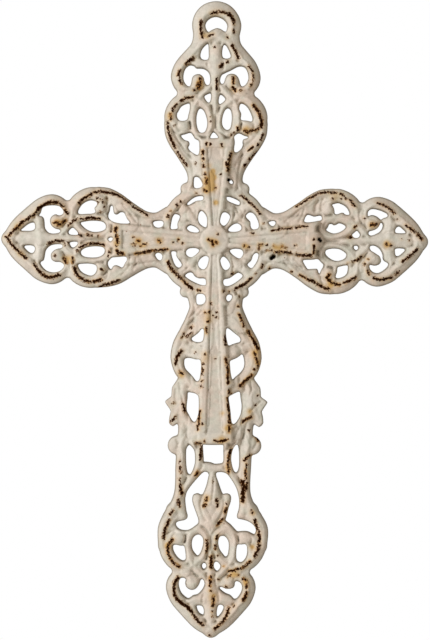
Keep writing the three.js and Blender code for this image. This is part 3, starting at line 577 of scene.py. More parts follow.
# Flutes of the leaves and folds of the lily: half width, depth and the line followed
GROOVES = [
    # Leaves of the arms
    (0.6, 0.8, [(38.6, 10.4), (42, 13.2), (46.2, 16.8)]),
    (0.6, 0.8, [(42.4, 10.8), (45.4, 13.6), (47.6, 17.2)]),
    (0.6, 0.7, [(46.4, 10.6), (48, 13.6), (49.2, 18)]),
    (1.0, 1.2, [(57, 22.4), (55.6, 19.4), (55.2, 16.6)]),
    (0.6, 0.8, [(38.4, -12), (40.6, -14.2), (43, -16.4)]),
    (0.6, 0.8, [(40.6, -10.6), (44, -13), (47.2, -15.8)]),
    (0.6, 0.7, [(44, -10.2), (46.6, -12.6), (48.6, -15.2)]),
    (0.9, 1.1, [(60.4, -12.6), (59.8, -16), (58.4, -19.4)]),
    (0.6, 0.8, [(-48.2, 9), (-51, 13.4), (-54.6, 18.6)]),
    (0.6, 0.8, [(-43, 10), (-46.8, 14.6), (-50.8, 19.8)]),
    (0.6, 0.7, [(-41, 12.4), (-43.6, 15), (-46.6, 17.6)]),
    (0.9, 1.2, [(-59.6, 22.4), (-59.2, 18.4), (-59.4, 14.2)]),
    (0.6, 0.8, [(-46.6, -10), (-47.2, -14.8), (-50.8, -19.2)]),
    (0.6, 0.8, [(-43, -10), (-43.4, -13.4), (-44.8, -16.6)]),
    (0.6, 0.7, [(-40, -11.2), (-38.6, -13.4), (-36.6, -15.4)]),
    (0.9, 1.1, [(-57.8, -14.4), (-59, -17), (-60.8, -19.2)]),
    (0.6, 0.8, [(-23.6, 60.4), (-20.8, 55.2), (-17.4, 50.6)]),
    (0.6, 0.8, [(-14.4, 47), (-12.2, 44.4), (-10.4, 41.4)]),
    (0.6, 0.8, [(24.2, 60.2), (20.4, 55.2), (15.8, 51.8)]),
    (0.6, 0.8, [(15, 47.4), (12.8, 44.4), (11.2, 41)]),
    # Wheel
    (0.6, 0.8, [(-15.8, 19.4), (-13.6, 17.6), (-11.8, 14.8)]),
    (0.6, 0.8, [(-21.6, 15.6), (-20, 17), (-18.8, 18.6)]),
    (0.6, 0.8, [(9.2, 19.2), (11.4, 17.8), (12.6, 15.4)]),
    (0.6, 0.9, [(15.2, 12.6), (16, 14.4), (17.2, 16.4)]),
    (0.6, 0.7, [(-17.2, -17.4), (-15.6, -16.2), (-14.4, -14.6)]),
    (0.6, 0.7, [(15.4, -11), (16.8, -12.8), (17.6, -14.6)]),
    # Lower shaft
    (0.6, 0.9, [(-6.6, -35.6), (-10.2, -39), (-13.4, -42.6)]),
    (0.6, 0.9, [(-6.8, -39), (-10.6, -42.8), (-14, -46.4)]),
    (0.6, 0.8, [(-19, -78.6), (-18, -84), (-16.6, -89.6)]),
    (0.6, 0.8, [(-20.6, -82), (-21.2, -85.6), (-20.4, -90)]),
    (0.6, 0.7, [(-19.6, -96.4), (-18.6, -100), (-17.2, -103.4)]),
    (0.6, 0.8, [(20.4, -77.8), (20.8, -81.4), (20.2, -85)]),
    (0.6, 0.8, [(26, -88.6), (23, -91), (20.2, -94)]),
    (0.6, 0.8, [(14.2, -103.2), (12.6, -106), (11.2, -108.4)]),
    (0.7, 0.8, [(20.6, -105.8), (23.4, -107.8), (23.8, -111.4), (22, -114.6)]),
    (0.6, 0.7, [(-20.2, -109.8), (-19.2, -112), (-20, -114.4)]),
    # Lily
    (0.6, 0.9, [(0.4, -130.4), (0.3, -136), (-0.4, -142.4)]),
    (0.7, 1.0, [(2.8, -134), (4.2, -138.4), (4.8, -142)]),
    (0.7, 1.0, [(-5.4, -140), (-6.9, -144.4), (-5.9, -149.6), (-3.9, -153.8)]),
    (0.7, 0.9, [(6, -141), (6.2, -146), (4.6, -151), (2.4, -154.6)]),
]

# Worn places read from the photograph: half width, strength of the rusty halo, and the line followed
WORN = [
    # Loop and top terminal
    (0.55, 0.5, [(-8.4, 120.7), (-8.5, 118.3), (-8.4, 115.1), (-7.7, 111.6)]),
    (0.5, 0.5, [(-2.8, 124.5), (-0.5, 125.3), (2.4, 125.6), (5.1, 124.8), (7.2, 124.2)]),
    (0.85, 0.6, [(7.2, 124.2), (8.3, 123.1), (9.3, 120.9)]),
    (0.4, 0.5, [(9.5, 120.2), (9.7, 118.8)]),
    (0.4, 0.5, [(9.5, 115.5), (10, 114)]),
    (0.45, 0.6, [(-4.5, 111.9), (-1.9, 113.2)]),
    (0.5, 0.5, [(6.1, 111.6)]),
    (0.45, 0.3, [(-0.8, 106.2)]),
    (0.55, 0.5, [(8.9, 107.3), (10.3, 104.4), (12.3, 100.4)]),
    (0.6, 0.6, [(-12.5, 100.1), (-14.4, 98.8), (-16.5, 96.7)]),
    (0.5, 0.7, [(-19.7, 93.2), (-20.8, 90.6)]),
    (0.4, 0.5, [(-20, 88.9), (-19.6, 87.1), (-18.9, 85.5)]),
    (0.75, 0.5, [(2.4, 95.5), (3.6, 96.7)]),
    (0.55, 0.5, [(6.5, 98.2)]),
    (0.45, 0.5, [(18.1, 95.6), (19.7, 93.2), (20.4, 90.5), (20.3, 88.1)]),
    (0.4, 0.6, [(19.7, 86), (19.2, 85.1)]),
    (0.5, 1.0, [(-8.7, 88.9), (-8.3, 87.6), (-8.8, 85.7), (-9.3, 83.6)]),
    (0.35, 1.0, [(-9.9, 86.5), (-10.2, 84.5)]),
    (0.4, 0.6, [(-11.2, 82.5), (-12.2, 82.4)]),
    (0.55, 0.8, [(9.7, 89.5), (9.6, 86.5)]),
    (0.55, 0.8, [(9.3, 84.1), (10.1, 83.1), (11, 82.2)]),
    (0.35, 0.6, [(13.1, 82), (14.1, 82.6)]),
    (0.4, 0.5, [(0.4, 88.7), (0.6, 85.7), (0.4, 82.8)]),
    # Top lobes
    (0.5, 0.5, [(-12.3, 78.7), (-14.7, 78.3), (-16.8, 78), (-18.4, 76.7), (-19.5, 76.4)]),
    (0.42, 0.5, [(-21.5, 74.5), (-22.9, 72.9), (-23.8, 70.8)]),
    (0.42, 0.8, [(-24.8, 69.2), (-24.5, 66.5)]),
    (0.5, 0.5, [(-26.4, 65.2), (-26.1, 62.3), (-25.4, 58.5), (-24.2, 54.8), (-22, 50.5)]),
    (0.45, 0.4, [(-21, 48.5), (-18.7, 45.3), (-16.9, 42.8), (-15.5, 41)]),
    (0.3, 0.3, [(-22.6, 62.7)]),
    (0.7, 0.7, [(20.6, 74.3), (22.7, 72.1), (24.3, 69.2), (25.3, 66), (25.3, 62)]),
    (0.4, 0.4, [(14.7, 75.1)]),
    (0.45, 0.7, [(12, 62), (12.5, 60.7)]),
    (0.5, 0.9, [(16, 60.7), (17.9, 59.3)]),
    (0.42, 0.7, [(19.2, 60.4), (20.5, 60.7), (21.9, 60.7), (23.5, 61.6)]),
    (0.45, 0.5, [(10.4, 59.1)]),
    (0.45, 0.5, [(8.8, 58)]),
    (0.45, 0.4, [(26.1, 58.3), (25, 55.6)]),
    (0.65, 0.6, [(23.5, 52.8)]),
    (0.4, 0.7, [(20.5, 51.3), (18.4, 49.8)]),
    (0.42, 0.4, [(22.4, 48.5), (20.3, 46.2), (18.9, 44.4)]),
    (0.42, 0.4, [(16.8, 42.1), (15.7, 40.3)]),
    (0.33, 0.3, [(-2.8, 67.6)]),
    (0.35, 0.3, [(-2.7, 65.3)]),
    # Raised cross, top arm
    (0.5, 0.6, [(-4.8, 52.8), (-4.7, 51.9)]),
    (0.4, 0.5, [(-2.7, 52.4)]),
    (0.65, 0.6, [(3.5, 52.1)]),
    (0.55, 0.7, [(-6.9, 48.9), (-6.6, 47)]),
    (0.5, 0.7, [(-6.6, 44.9), (-6.4, 43.9)]),
    (0.5, 0.7, [(-6.3, 41.2), (-6.2, 40)]),
    (0.4, 0.7, [(-5.5, 37), (-5.3, 35.6)]),
    (0.6, 0.8, [(-4.7, 33.6), (-4.6, 31)]),
    (0.5, 0.9, [(-5.7, 27.6), (-4.8, 26.8)]),
    (0.5, 0.7, [(8.8, 47.8), (7.8, 44.6), (7.2, 41.5), (6.9, 38.2)]),
    (0.4, 0.7, [(6.2, 42.6), (6.3, 41)]),
    (0.35, 0.3, [(3, 36.3)]),
    (0.35, 0.3, [(0.2, 28.8)]),
    (0.35, 0.3, [(-10.9, 42.3)]),
    # Left terminal
    (0.6, 0.7, [(-112.8, 2), (-110.5, 4.6), (-108, 7), (-105.5, 9.6)]),
    (0.45, 0.6, [(-105.5, 9.6), (-103, 10.6), (-100.2, 12.6), (-98.3, 14.8), (-97, 16.6)]),
    (0.75, 0.6, [(-97, 16.6), (-95.5, 17.8), (-93.5, 19), (-91.5, 20.1), (-89, 20.3), (-86.5, 20.2)]),
    (0.55, 0.6, [(-85, 19.5), (-83.4, 18)]),
    (0.5, 0.6, [(-82.3, 16.2), (-81, 14.2)]),
    (0.45, 0.6, [(-115, 1.1), (-113.6, 0.3)]),
    (0.55, 0.6, [(-113.4, -0.2), (-112.8, -1.3), (-110.8, -4), (-108.5, -6.3), (-106, -8.6),
                 (-103.5, -10.4)]),
    (0.6, 0.5, [(-99, -14), (-97, -17), (-94.5, -19.3)]),
    (0.75, 0.6, [(-94.5, -19.3), (-92, -20.8), (-89.5, -20.9), (-87, -20.3), (-85.3, -19.8)]),
    (0.5, 0.4, [(-91.5, -2.7), (-89.5, -1.6), (-87, -0.9), (-85, -0.7), (-83, -1.2)]),
    (0.5, 0.4, [(-82.3, -3.2)]),
    (0.5, 0.4, [(-80.6, -1.8)]),
    (0.5, 1.0, [(-88.3, 8.9), (-86.8, 9.4)]),
    (0.45, 1.0, [(-86, 7.9), (-84.5, 8.6), (-82.2, 10.4)]),
    (0.6, 0.5, [(-87.6, -9.1)]),
    (0.5, 0.9, [(-82.8, -10.6), (-81.3, -12.8)]),
    (0.4, 0.9, [(-78.2, -10.2), (-78, -13)]),
    # Left lobes
    (0.6, 0.6, [(-74.7, 19.8), (-73, 21.8), (-70, 23.8), (-67.3, 25.3)]),
    (0.55, 0.6, [(-66, 25.9), (-63, 26.4), (-60, 26)]),
    (0.6, 0.5, [(-58.6, 25.7), (-56.5, 25.4), (-54, 24.6), (-51.5, 23.4)]),
    (0.45, 0.4, [(-50.5, 22.6), (-46.5, 20)]),
    (0.4, 0.4, [(-45, 18.2), (-41, 16), (-37, 13.5)]),
    (0.5, 0.5, [(-64.8, 22.7)]),
    (0.4, 0.5, [(-62.8, 22.1)]),
    (0.45, 0.5, [(-61.5, 20.8)]),
    (0.45, 0.4, [(-64.4, 20.2)]),
    (0.4, 0.4, [(-61, 18)]),
    (0.4, 0.5, [(-62.8, 15.2)]),
    (0.4, 0.4, [(-59.5, 22.5)]),
    (0.45, 0.5, [(-80.4, 7.6), (-78, 9.8), (-75.3, 11.2)]),
    (0.35, 0.5, [(-74, 11.6), (-73, 11.4)]),
    (0.48, 0.5, [(-71.5, 11.4), (-68, 11.9), (-65.5, 11.6), (-63.2, 11.5)]),
    (0.4, 0.3, [(-75, 2.9), (-73.4, 2)]),
    (0.45, 0.6, [(-70, 2.6), (-69.2, 2.2)]),
    (0.3, 0.5, [(-67.5, 2.1)]),
    (0.45, 0.5, [(-64, 1.8)]),
    (0.5, 0.3, [(-57, 4.6)]),
    (0.6, 0.5, [(-75.4, -6.2)]),
    (0.5, 0.5, [(-74, -4.6), (-71.5, -3), (-68.5, -2.2), (-65, -2.2), (-62.5, -2.5), (-60.8, -3.1)]),
    (0.65, 0.7, [(-77, -15.5), (-76, -18.5), (-74.3, -20.8), (-71.5, -22.4), (-68.5, -23.2), (-65.5, -23),
                 (-62.3, -22)]),
    (0.55, 0.5, [(-63, -26), (-60, -24.8), (-56.5, -24), (-54, -22.7), (-52.5, -22.2)]),
    (0.5, 0.5, [(-62.5, -16.2), (-61.5, -16.8)]),
    (0.4, 0.5, [(-57.8, -6.6)]),
    (0.4, 0.5, [(-58.4, -9)]),
    # Raised cross, left arm
    (0.7, 0.9, [(-54.1, 6.3), (-54.3, 4.5)]),
    (0.6, 0.9, [(-53.7, 2.2), (-53.2, -1.6)]),
    (0.4, 0.7, [(-53.8, -3.2)]),
    (0.6, 0.9, [(-53.5, -6), (-52.8, -7.5), (-50, -7.7)]),
    (0.45, 0.8, [(-43.5, -7.7), (-40, -7.2), (-36, -6.4)]),
    (0.42, 0.8, [(-36, -6.4), (-32.2, -5.8), (-29, -5.3), (-25.8, -5.3)]),
    (0.6, 1.0, [(-30.5, -0.4)]),
    (0.4, 0.7, [(-29.8, -1.6)]),
    (0.4, 0.5, [(-22.9, -1.4)]),
    (0.35, 0.4, [(-20.4, -0.5)]),
    (0.45, 0.6, [(-17.6, -1.8)]),
    (0.4, 0.6, [(-45, -2.5), (-43.6, -2.6)]),
    (0.4, 0.6, [(-39, -2.5), (-37, -2.6)]),
    (0.42, 1.0, [(-42.4, -0.4), (-41.2, -0.8)]),
    (0.36, 0.9, [(-44.6, 1.1)]),
    (0.4, 1.0, [(-40.6, -3.4)]),
    (0.38, 0.9, [(-19.8, 0.2)]),
    # Raised cross, right arm
    (0.42, 0.5, [(31.2, 5.5), (34.2, 5.8), (37.2, 6.4), (42.3, 6.8)]),
    (0.4, 0.5, [(44.7, 7.2), (48, 7.8), (50.4, 7.9)]),
    (0.5, 0.6, [(33, -6.3), (37.2, -6.1), (42.3, -6.9)]),
    (0.65, 0.6, [(45, -7.5), (49.2, -8), (53.1, -8)]),
    (0.42, 0.7, [(54.3, -7), (54.5, -5), (54.5, -2.6)]),
    (0.42, 0.6, [(54.4, 0.7)]),
    (0.45, 0.8, [(16.2, -3)]),
    (0.45, 0.7, [(18.7, -3.7)]),
    (0.35, 0.4, [(20.3, 3.9), (21.2, 3.7)]),
    (0.5, 0.7, [(24.3, -4.7)]),
    (0.35, 0.7, [(24.3, -2.3), (26.4, -2.1)]),
    (0.4, 0.7, [(28.8, -2.4)]),
    (0.35, 0.7, [(28.6, -5.3), (31, -5.3)]),
    (0.35, 0.7, [(32.4, -2.7)]),
    (0.45, 0.9, [(37.2, -3.3)]),
    (0.4, 0.8, [(39, -3.8)]),
    (0.4, 0.4, [(44.4, -2.6)]),
    # Right terminal and lobes
    (0.42, 0.5, [(44.7, 19), (48, 20.8), (50.4, 22.6), (54, 24.5)]),
    (0.45, 0.5, [(54, 24.5), (57, 26.1), (60, 26.7), (63.6, 26.7), (66.6, 26.5)]),
    (0.42, 0.6, [(69, 26.1), (70.8, 25.1)]),
    (0.42, 0.6, [(72, 23.2)]),
    (0.52, 0.6, [(74.1, 22.6), (76.8, 19.3)]),
    (0.45, 0.4, [(64.6, 23.2)]),
    (0.35, 0.5, [(69.5, 23.5)]),
    (0.4, 0.8, [(76.8, 7.6), (77.6, 8.6)]),
    (0.7, 0.8, [(74.5, 2.2)]),
    (0.4, 0.6, [(42.6, -16.9)]),
    (0.4, 0.7, [(46.8, -18.8), (49.8, -20.3)]),
    (0.6, 0.6, [(51, -21), (52.2, -21.5), (54.3, -22.1), (56.4, -23.6), (59.4, -25.4), (62.7, -26.3)]),
    (0.5, 0.9, [(63.3, -18.2), (61.8, -20.3)]),
    (0.5, 0.9, [(62.2, -20.9), (64.2, -22.7), (66.6, -23.6), (68.7, -23.9)]),
    (0.58, 0.7, [(71.4, -22.9), (74.4, -21.5), (77.4, -20)]),
    (0.4, 0.5, [(73.5, -12.1)]),
    (0.42, 0.6, [(75.9, -11.1), (78.9, -10.1), (80.7, -8.3)]),
    (0.45, 0.6, [(89.4, 21), (93, 19.7), (96, 18.1), (98.4, 15.4)]),
    (0.3, 0.5, [(100.6, 12.4)]),
    (0.5, 0.6, [(105, 8.8), (107.4, 7.3), (109.8, 5.3)]),
    (0.65, 0.6, [(111.6, 4)]),
    (0.5, 0.6, [(111.6, 4), (114, 1.1)]),
    (0.55, 0.5, [(111.3, -4.3), (108.6, -6.8), (105.9, -8.9), (103.2, -11)]),
    (0.45, 0.5, [(101.1, -16.7), (99.6, -18.2)]),
    (0.58, 0.6, [(97.2, -19.8), (96.6, -20), (93.6, -20.7), (90.6, -21.1), (87.6, -20.2)]),
    (0.42, 0.8, [(85.2, -18.2), (84, -16.1)]),
    (0.55, 0.8, [(82.5, -12.5)]),
    (0.4, 0.8, [(84.3, -9.8)]),
    (0.55, 0.9, [(86, 9.1), (87.6, 9.2), (89.4, 9.7)]),
    (0.35, 0.5, [(82.3, 12.7)]),
    (0.6, 1.0, [(94.6, -1.7)]),
    (0.4, 0.9, [(96.8, -2)]),
    (0.42, 0.3, [(106.6, 0.7)]),
    (0.3, 0.3, [(102.8, 1.3)]),
    # Wheel and hub
    (0.35, 0.5, [(-10.3, 25.8)]),
    (0.6, 0.5, [(-18.8, 21.1)]),
    (0.75, 0.5, [(-20.7, 19.2)]),
    (0.4, 0.6, [(-24.2, 15.8)]),
    (0.45, 0.6, [(-25.8, 13.4), (-25.9, 12.4)]),
    (0.45, 0.5, [(14.1, 24.7), (17.1, 22.8), (20.3, 19.7), (22.2, 18.1), (24.8, 14.6)]),
    (0.35, 0.5, [(26.7, 9.4)]),
    (0.65, 0.6, [(-25.8, -12), (-24.2, -15.5), (-21.3, -18.4), (-17.8, -21.6), (-14.6, -24.8), (-12, -26.7)]),
    (0.5, 0.8, [(-9, -27.4), (-7.8, -27.7)]),
    (0.55, 0.6, [(20.3, -20.5), (17.1, -23.8), (13.6, -25.4), (11.4, -26.8)]),
    (0.35, 0.6, [(8.2, -28)]),
    (0.42, 0.6, [(22.6, -18.1)]),
    (0.5, 0.6, [(26.1, -14.6), (26.6, -13.3)]),
    (0.45, 0.6, [(30.2, -15)]),
    (0.45, 0.8, [(9.8, -18.1)]),
    (0.38, 0.6, [(5, -28)]),
    (0.5, 0.9, [(-3.4, 0.2), (-1.4, -0.5), (-0.8, -3)]),
    (0.38, 0.6, [(1.8, 3.2)]),
    (0.45, 1.0, [(0.6, -0.8), (1.4, -1.6)]),
    # Raised cross, foot
    (0.35, 0.6, [(-1.9, -34.7)]),
    (0.55, 0.9, [(-2.9, -39.4)]),
    (0.4, 0.8, [(-4.7, -39.6)]),
    (0.5, 0.8, [(-3.4, -44.6)]),
    (0.42, 0.9, [(-4.3, -48), (-3.9, -50.9)]),
    (0.42, 0.4, [(1.2, -39.3)]),
    (0.35, 0.4, [(-0.4, -41.3)]),
    (0.42, 0.4, [(1.3, -42.4)]),
    (0.6, 0.3, [(5.8, -52.8), (6.2, -57.1)]),
    (0.45, 0.9, [(6.5, -64.8), (7.2, -67.7), (7.8, -70.6), (7.6, -73.9), (7.9, -78.2)]),
    (0.5, 0.8, [(8.4, -82.4), (8.9, -83.8)]),
    (0.42, 0.8, [(7.6, -86.4), (8.1, -90.6), (8.7, -96), (8.9, -100.2)]),
    (0.42, 0.9, [(8.9, -101.5), (8.7, -105)]),
    (0.5, 0.6, [(-5.9, -67.8)]),
    (0.42, 0.6, [(-6.1, -70.4), (-6.2, -73.4)]),
    (0.4, 0.6, [(-6.5, -77.3)]),
    (0.5, 0.4, [(-6.7, -80.4)]),
    (0.5, 0.8, [(-4.8, -62.4)]),
    (0.45, 0.8, [(-7.5, -93.6), (-7.8, -97.2), (-8.1, -100.8), (-8.6, -103.8)]),
    (0.38, 0.7, [(-6, -100.8)]),
    (0.4, 0.8, [(8.1, -109.2), (5.4, -110), (3, -110.4), (0.9, -110)]),
    (0.45, 0.8, [(-4.8, -110.4)]),
    (0.5, 0.8, [(-9.2, -111.3), (-7.2, -111.3)]),
    (0.35, 0.4, [(-10.3, -61.8)]),
    (0.3, 0.3, [(0.7, -64.9)]),
    # Shaft, upper bulge
    (0.42, 0.9, [(13.7, -40.3), (14.6, -42.5), (15.6, -45.1), (16.3, -47)]),
    (0.45, 0.7, [(13.2, -36.2)]),
    (0.35, 0.6, [(13.9, -30.7)]),
    (0.68, 0.8, [(18.7, -49.9), (19.9, -52.1), (21.4, -54.2), (23, -56.9), (24.1, -59.4)]),
    (0.33, 1.0, [(22.3, -61.4), (23.3, -65.3), (24.2, -67.9), (24.2, -69.6)]),
    (0.5, 0.8, [(22.1, -70.8)]),
    (0.6, 0.9, [(20.9, -73.7), (19, -75.8), (16.8, -77.5), (14.2, -80.2)]),
    (0.42, 0.4, [(-13.3, -48.6), (-11.8, -47.4)]),
    (0.5, 0.6, [(-16.6, -51.6)]),
    (0.55, 0.6, [(-17.5, -53.5)]),
    (0.38, 0.4, [(-15.6, -53.2), (-12.2, -50.8)]),
    (0.68, 0.5, [(-18, -61), (-19.9, -63.6), (-20.6, -65.8), (-21, -68.2)]),
    (0.58, 0.9, [(-18.6, -72.6), (-17.4, -73.4)]),
    # Shaft leaves and hooks
    (0.5, 0.5, [(-16.7, -90.3), (-15.9, -94.2)]),
    (0.38, 0.4, [(-22.6, -90), (-21.6, -89.6)]),
    (0.45, 0.3, [(-23.4, -100.2), (-21.6, -98.1), (-21, -96.9)]),
    (0.5, 0.9, [(15.9, -99.9), (18, -98.1), (20.7, -97.1)]),
    (0.4, 0.3, [(24.2, -84.9)]),
    (0.35, 0.3, [(23.1, -90.5)]),
    (0.5, 0.3, [(19.5, -104.4)]),
    (0.55, 0.9, [(24, -108), (24.9, -109.8)]),
    (0.45, 0.7, [(20.7, -117.9), (18.6, -119.1), (17.1, -120.9)]),
    # Bars beside the window, lily and posts
    (0.52, 0.5, [(-6.4, -113.1), (-6.6, -116.4), (-7.2, -120.6)]),
    (0.65, 0.9, [(-8.5, -127.6), (-9.2, -129)]),
    (0.48, 0.8, [(10.1, -114.6), (8.4, -118.8), (8.1, -123), (8.6, -127.6)]),
    (0.45, 0.9, [(-3.2, -141), (-3.6, -143)]),
    (0.6, 0.9, [(-4.2, -145), (-4.8, -146.1)]),
    (0.52, 0.4, [(2.1, -142.4), (2.8, -146.4)]),
    (0.42, 0.3, [(0.1, -132.6)]),
    (0.4, 0.4, [(7.5, -144.6)]),
    (0.55, 0.8, [(7.3, -147.4), (6.7, -149.6)]),
    (0.4, 0.8, [(5.6, -152.8), (4.2, -154.6), (2.4, -156.6)]),
    (0.42, 0.4, [(-18.3, -121.4), (-18.3, -122.2)]),
    (0.42, 0.5, [(-18.2, -124.6), (-17.8, -127.8)]),
    (0.36, 0.5, [(-18.3, -131), (-18.2, -132)]),
    (0.68, 0.7, [(-18, -134.4), (-17.5, -137.4), (-17.1, -139.6)]),
    (0.58, 0.6, [(-19, -142.8), (-18.7, -144.6), (-18.3, -146.4)]),
    (0.42, 0.8, [(18.3, -123), (17.7, -128.7), (18.3, -130.8)]),
    (1.1, 0.7, [(16.2, -132.6), (16.9, -135.6)]),
    (0.9, 0.7, [(16.9, -135.6), (16.7, -138.6), (16.4, -143.2)]),
    (0.45, 0.6, [(18.6, -133), (18.3, -137)]),
    # Bottom lobes
    (0.5, 0.7, [(-22, -148.6), (-23.4, -150.6)]),
    (0.5, 0.6, [(-23.8, -153.9)]),
    (0.65, 0.6, [(-24.5, -155), (-25.7, -158), (-26.4, -160.5), (-26.9, -162.7), (-26.7, -164)]),
    (0.52, 1.0, [(-22, -164.6), (-23.6, -166.5), (-24.7, -169), (-24.4, -172.3), (-23.1, -175),
                 (-21.1, -177.7), (-18.1, -179.4)]),
    (0.36, 0.6, [(21.3, -148.2), (21.8, -149.6)]),
    (0.55, 0.6, [(23.1, -153.4), (24, -156.4), (25.3, -160.2)]),
    (0.65, 0.6, [(25.3, -160.2), (25.9, -164), (25.3, -168.4), (24.2, -171.2), (23.2, -173.6)]),
    (0.55, 0.8, [(20.6, -176.2), (18, -179.1), (14.7, -180.5), (11.9, -181.3), (9.5, -181.8)]),
    (0.4, 0.9, [(10, -183.7)]),
    (0.4, 0.8, [(8.7, -184.8)]),
    (0.42, 0.8, [(14.1, -184)]),
    (0.62, 0.8, [(-0.7, -173.9), (-0.7, -179.9)]),
    (0.5, 0.9, [(-1.1, -185), (-1.2, -189.8)]),
    (0.45, 0.9, [(-0.9, -192.5)]),
    (0.45, 0.9, [(0.7, -195.8), (0.7, -198.5), (0.3, -201)]),
    (0.4, 0.6, [(0.1, -204.2)]),
    (0.4, 0.5, [(0.1, -206.7)]),
    (0.42, 0.7, [(-3.4, -165), (-2.7, -168.4), (-3.5, -171.4)]),
    (0.42, 0.8, [(2.9, -162.1), (2.1, -164.1)]),
    (0.4, 0.7, [(1.4, -167.6), (1.5, -169.8)]),
    (0.4, 0.7, [(3.2, -173.1)]),
    (0.38, 0.7, [(6.2, -179.1)]),
    # Bottom terminal
    (0.68, 0.6, [(-18.9, -185.4), (-20.9, -188.7), (-21.1, -191.9), (-20.6, -195.2), (-18.7, -198),
                 (-15.9, -199.9)]),
    (0.62, 0.5, [(-15.9, -199.9), (-13.2, -201.8), (-11, -204.5), (-9.4, -207.2), (-7.2, -209.7),
                 (-5, -211.5)]),
    (0.52, 0.9, [(17.1, -185.9), (18.4, -186.6)]),
    (0.42, 0.9, [(19, -188.6), (18.8, -190.8)]),
    (0.65, 0.8, [(18.9, -193.4), (18, -196), (17.1, -197.7)]),
    (0.6, 0.6, [(9.2, -202.1), (8.1, -206.2), (5.4, -210), (1.6, -213.5)]),
    (0.38, 0.7, [(11.9, -200.8)]),
    (0.4, 0.4, [(3.5, -186.5)]),
    (0.5, 0.6, [(7.6, -190.3)]),
    (0.4, 0.5, [(-1.1, -217.4)]),
]

# Yellow stains in the paint: place, radius and strength
STAINS = [
    ((-1, -1), 2.4, 0.45), ((1.4, -1.6), 1.4, 0.4),
    ((-3.4, 31.5), 2.6, 0.7), ((-2.4, 36.2), 2.0, 0.5), ((-3.4, 41), 1.6, 0.35), ((-4.6, 27.4), 1.8, 0.6),
    ((-1.8, 29.2), 2.6, 0.9), ((-0.9, 34.4), 1.6, 0.9), ((-1.1, 38), 1.2, 0.7), ((0.5, 20.6), 1.4, 0.8),
    ((-5, 33), 2.0, 0.5), ((17, 61), 2.2, 0.6), ((-25, 68), 2.0, 0.6), ((-9, 85.5), 2.2, 0.7),
    ((94.8, -1.6), 1.8, 0.9), ((36, -4.4), 2.4, 0.5), ((17, -3.2), 1.6, 0.6), ((-30.4, -0.8), 2.0, 0.5),
    ((22.6, -62), 2.6, 0.7), ((24, -67), 1.8, 0.6), ((20, -94), 1.8, 0.5), ((8, -103), 2.2, 0.8),
    ((5, -95), 1.4, 0.5), ((4.6, -109.4), 2.2, 0.6), ((-4.4, -65), 2.6, 0.4), ((-3.4, -43), 2.6, 0.4),
    ((-9.2, -128.4), 1.6, 0.6), ((8.2, -125), 1.8, 0.6), ((-3.4, -142.4), 1.8, 0.6), ((0.6, -196), 2.4, 0.7),
    ((12, -183.2), 2.4, 0.7), ((18.4, -188), 1.8, 0.7), ((-24.6, -168), 1.8, 0.8), ((-17.6, -74), 1.8, 0.6),
    ((64, -24), 2.4, 0.6), ((86.5, 9), 2.0, 0.5), ((-85.5, 9), 2.2, 0.6), ((-80.5, -11), 2.4, 0.5),
    ((-42, -0.8), 2.2, 0.55), ((-38.4, -3), 1.5, 0.5), ((25, -3.8), 1.6, 0.4), ((33, -3.6), 1.6, 0.45),
    ((-106.5, -7.5), 2.2, 0.4), ((-54, -2), 2.0, 0.5), ((22, -150), 1.6, 0.5), ((21.8, -168.6), 1.6, 0.6),
    ((0, 125), 3.0, 0.25), ((-6, 112.4), 2.0, 0.4), ((66, 24.4), 3.0, 0.3), ((-108, 7), 2.4, 0.35),
]

# Plan maps: how far inside the outline each place is, and the height of the relief over it
X = np.arange(PLAN_LOW[0], PLAN_HIGH[0] + STEP / 2, STEP)
Z = np.arange(PLAN_LOW[1], PLAN_HIGH[1] + STEP / 2, STEP)
plan_x, plan_z = np.meshgrid(X, Z)
inside = np.full(plan_x.shape, -FAR)
relief = np.full(plan_x.shape, -FAR)

# Edges of the bars that stand out from what they cross: cells, distance inside, share of the way, top, depth
lines = []


def around(low, high):
    """Cells of the plan maps that cover a box, and their places."""
    rows = slice(*np.searchsorted(Z, [low[1], high[1]]))
    columns = slice(*np.searchsorted(X, [low[0], high[0]]))
    gx, gz = np.meshgrid(X[columns], Z[rows])
    return (rows, columns), gx, gz


def soft_most(a, b, width):
    """The larger of two maps, with a soft change from one to the other."""
    near = np.clip(width - np.abs(a - b), 0, None)
    return np.maximum(a, b) + near * near / (4 * width)


def join(cells, depth, height, width=RELIEF_JOIN):
    """Adds a form to the plan maps."""
    inside[cells] = soft_most(inside[cells], depth, PLAN_JOIN)
    relief[cells] = soft_most(relief[cells], height, width)


def spans(start, end, leave, arrive, count):
    """Points along cubic spans with given ends and headings."""
    t = (np.arange(count) / count)[None, :, None]
    start, end, leave, arrive = start[:, None], end[:, None], leave[:, None], arrive[:, None]
    cubic = (2 * start - 2 * end + leave + arrive) * t ** 3
    square = (3 * end - 3 * start - 2 * leave - arrive) * t ** 2
    return (cubic + square + leave * t + start).reshape(-1, 2)


def curve(path, per_span=8):
    """Points on a smooth curve through the path's points."""
    points = np.array(path, float)
    if len(points) == 2:
        return points[0] + np.linspace(0, 1, per_span + 1)[:, None] * (points[1] - points[0])
    before = np.concatenate([points[:1], points[:-2]])
    after = np.concatenate([points[2:], points[-1:]])
    run = spans(points[:-1], points[1:], (points[1:] - before) / 2, (after - points[:-1]) / 2, per_span)
    return np.concatenate([run, points[-1:]])


def closed_curve(path, per_span=4):
    """Points on a smooth closed curve through the path's points."""
    points = np.array(path, float)
    after = np.roll(points, -1, 0)
    leave = (after - np.roll(points, 1, 0)) / 2
    return spans(points, after, leave, np.roll(leave, -1, 0), per_span)


def spread(values, count):
    """A short list of values read at even steps along it."""
    return np.interp(np.linspace(0, 1, count), np.linspace(0, 1, len(values)), values)


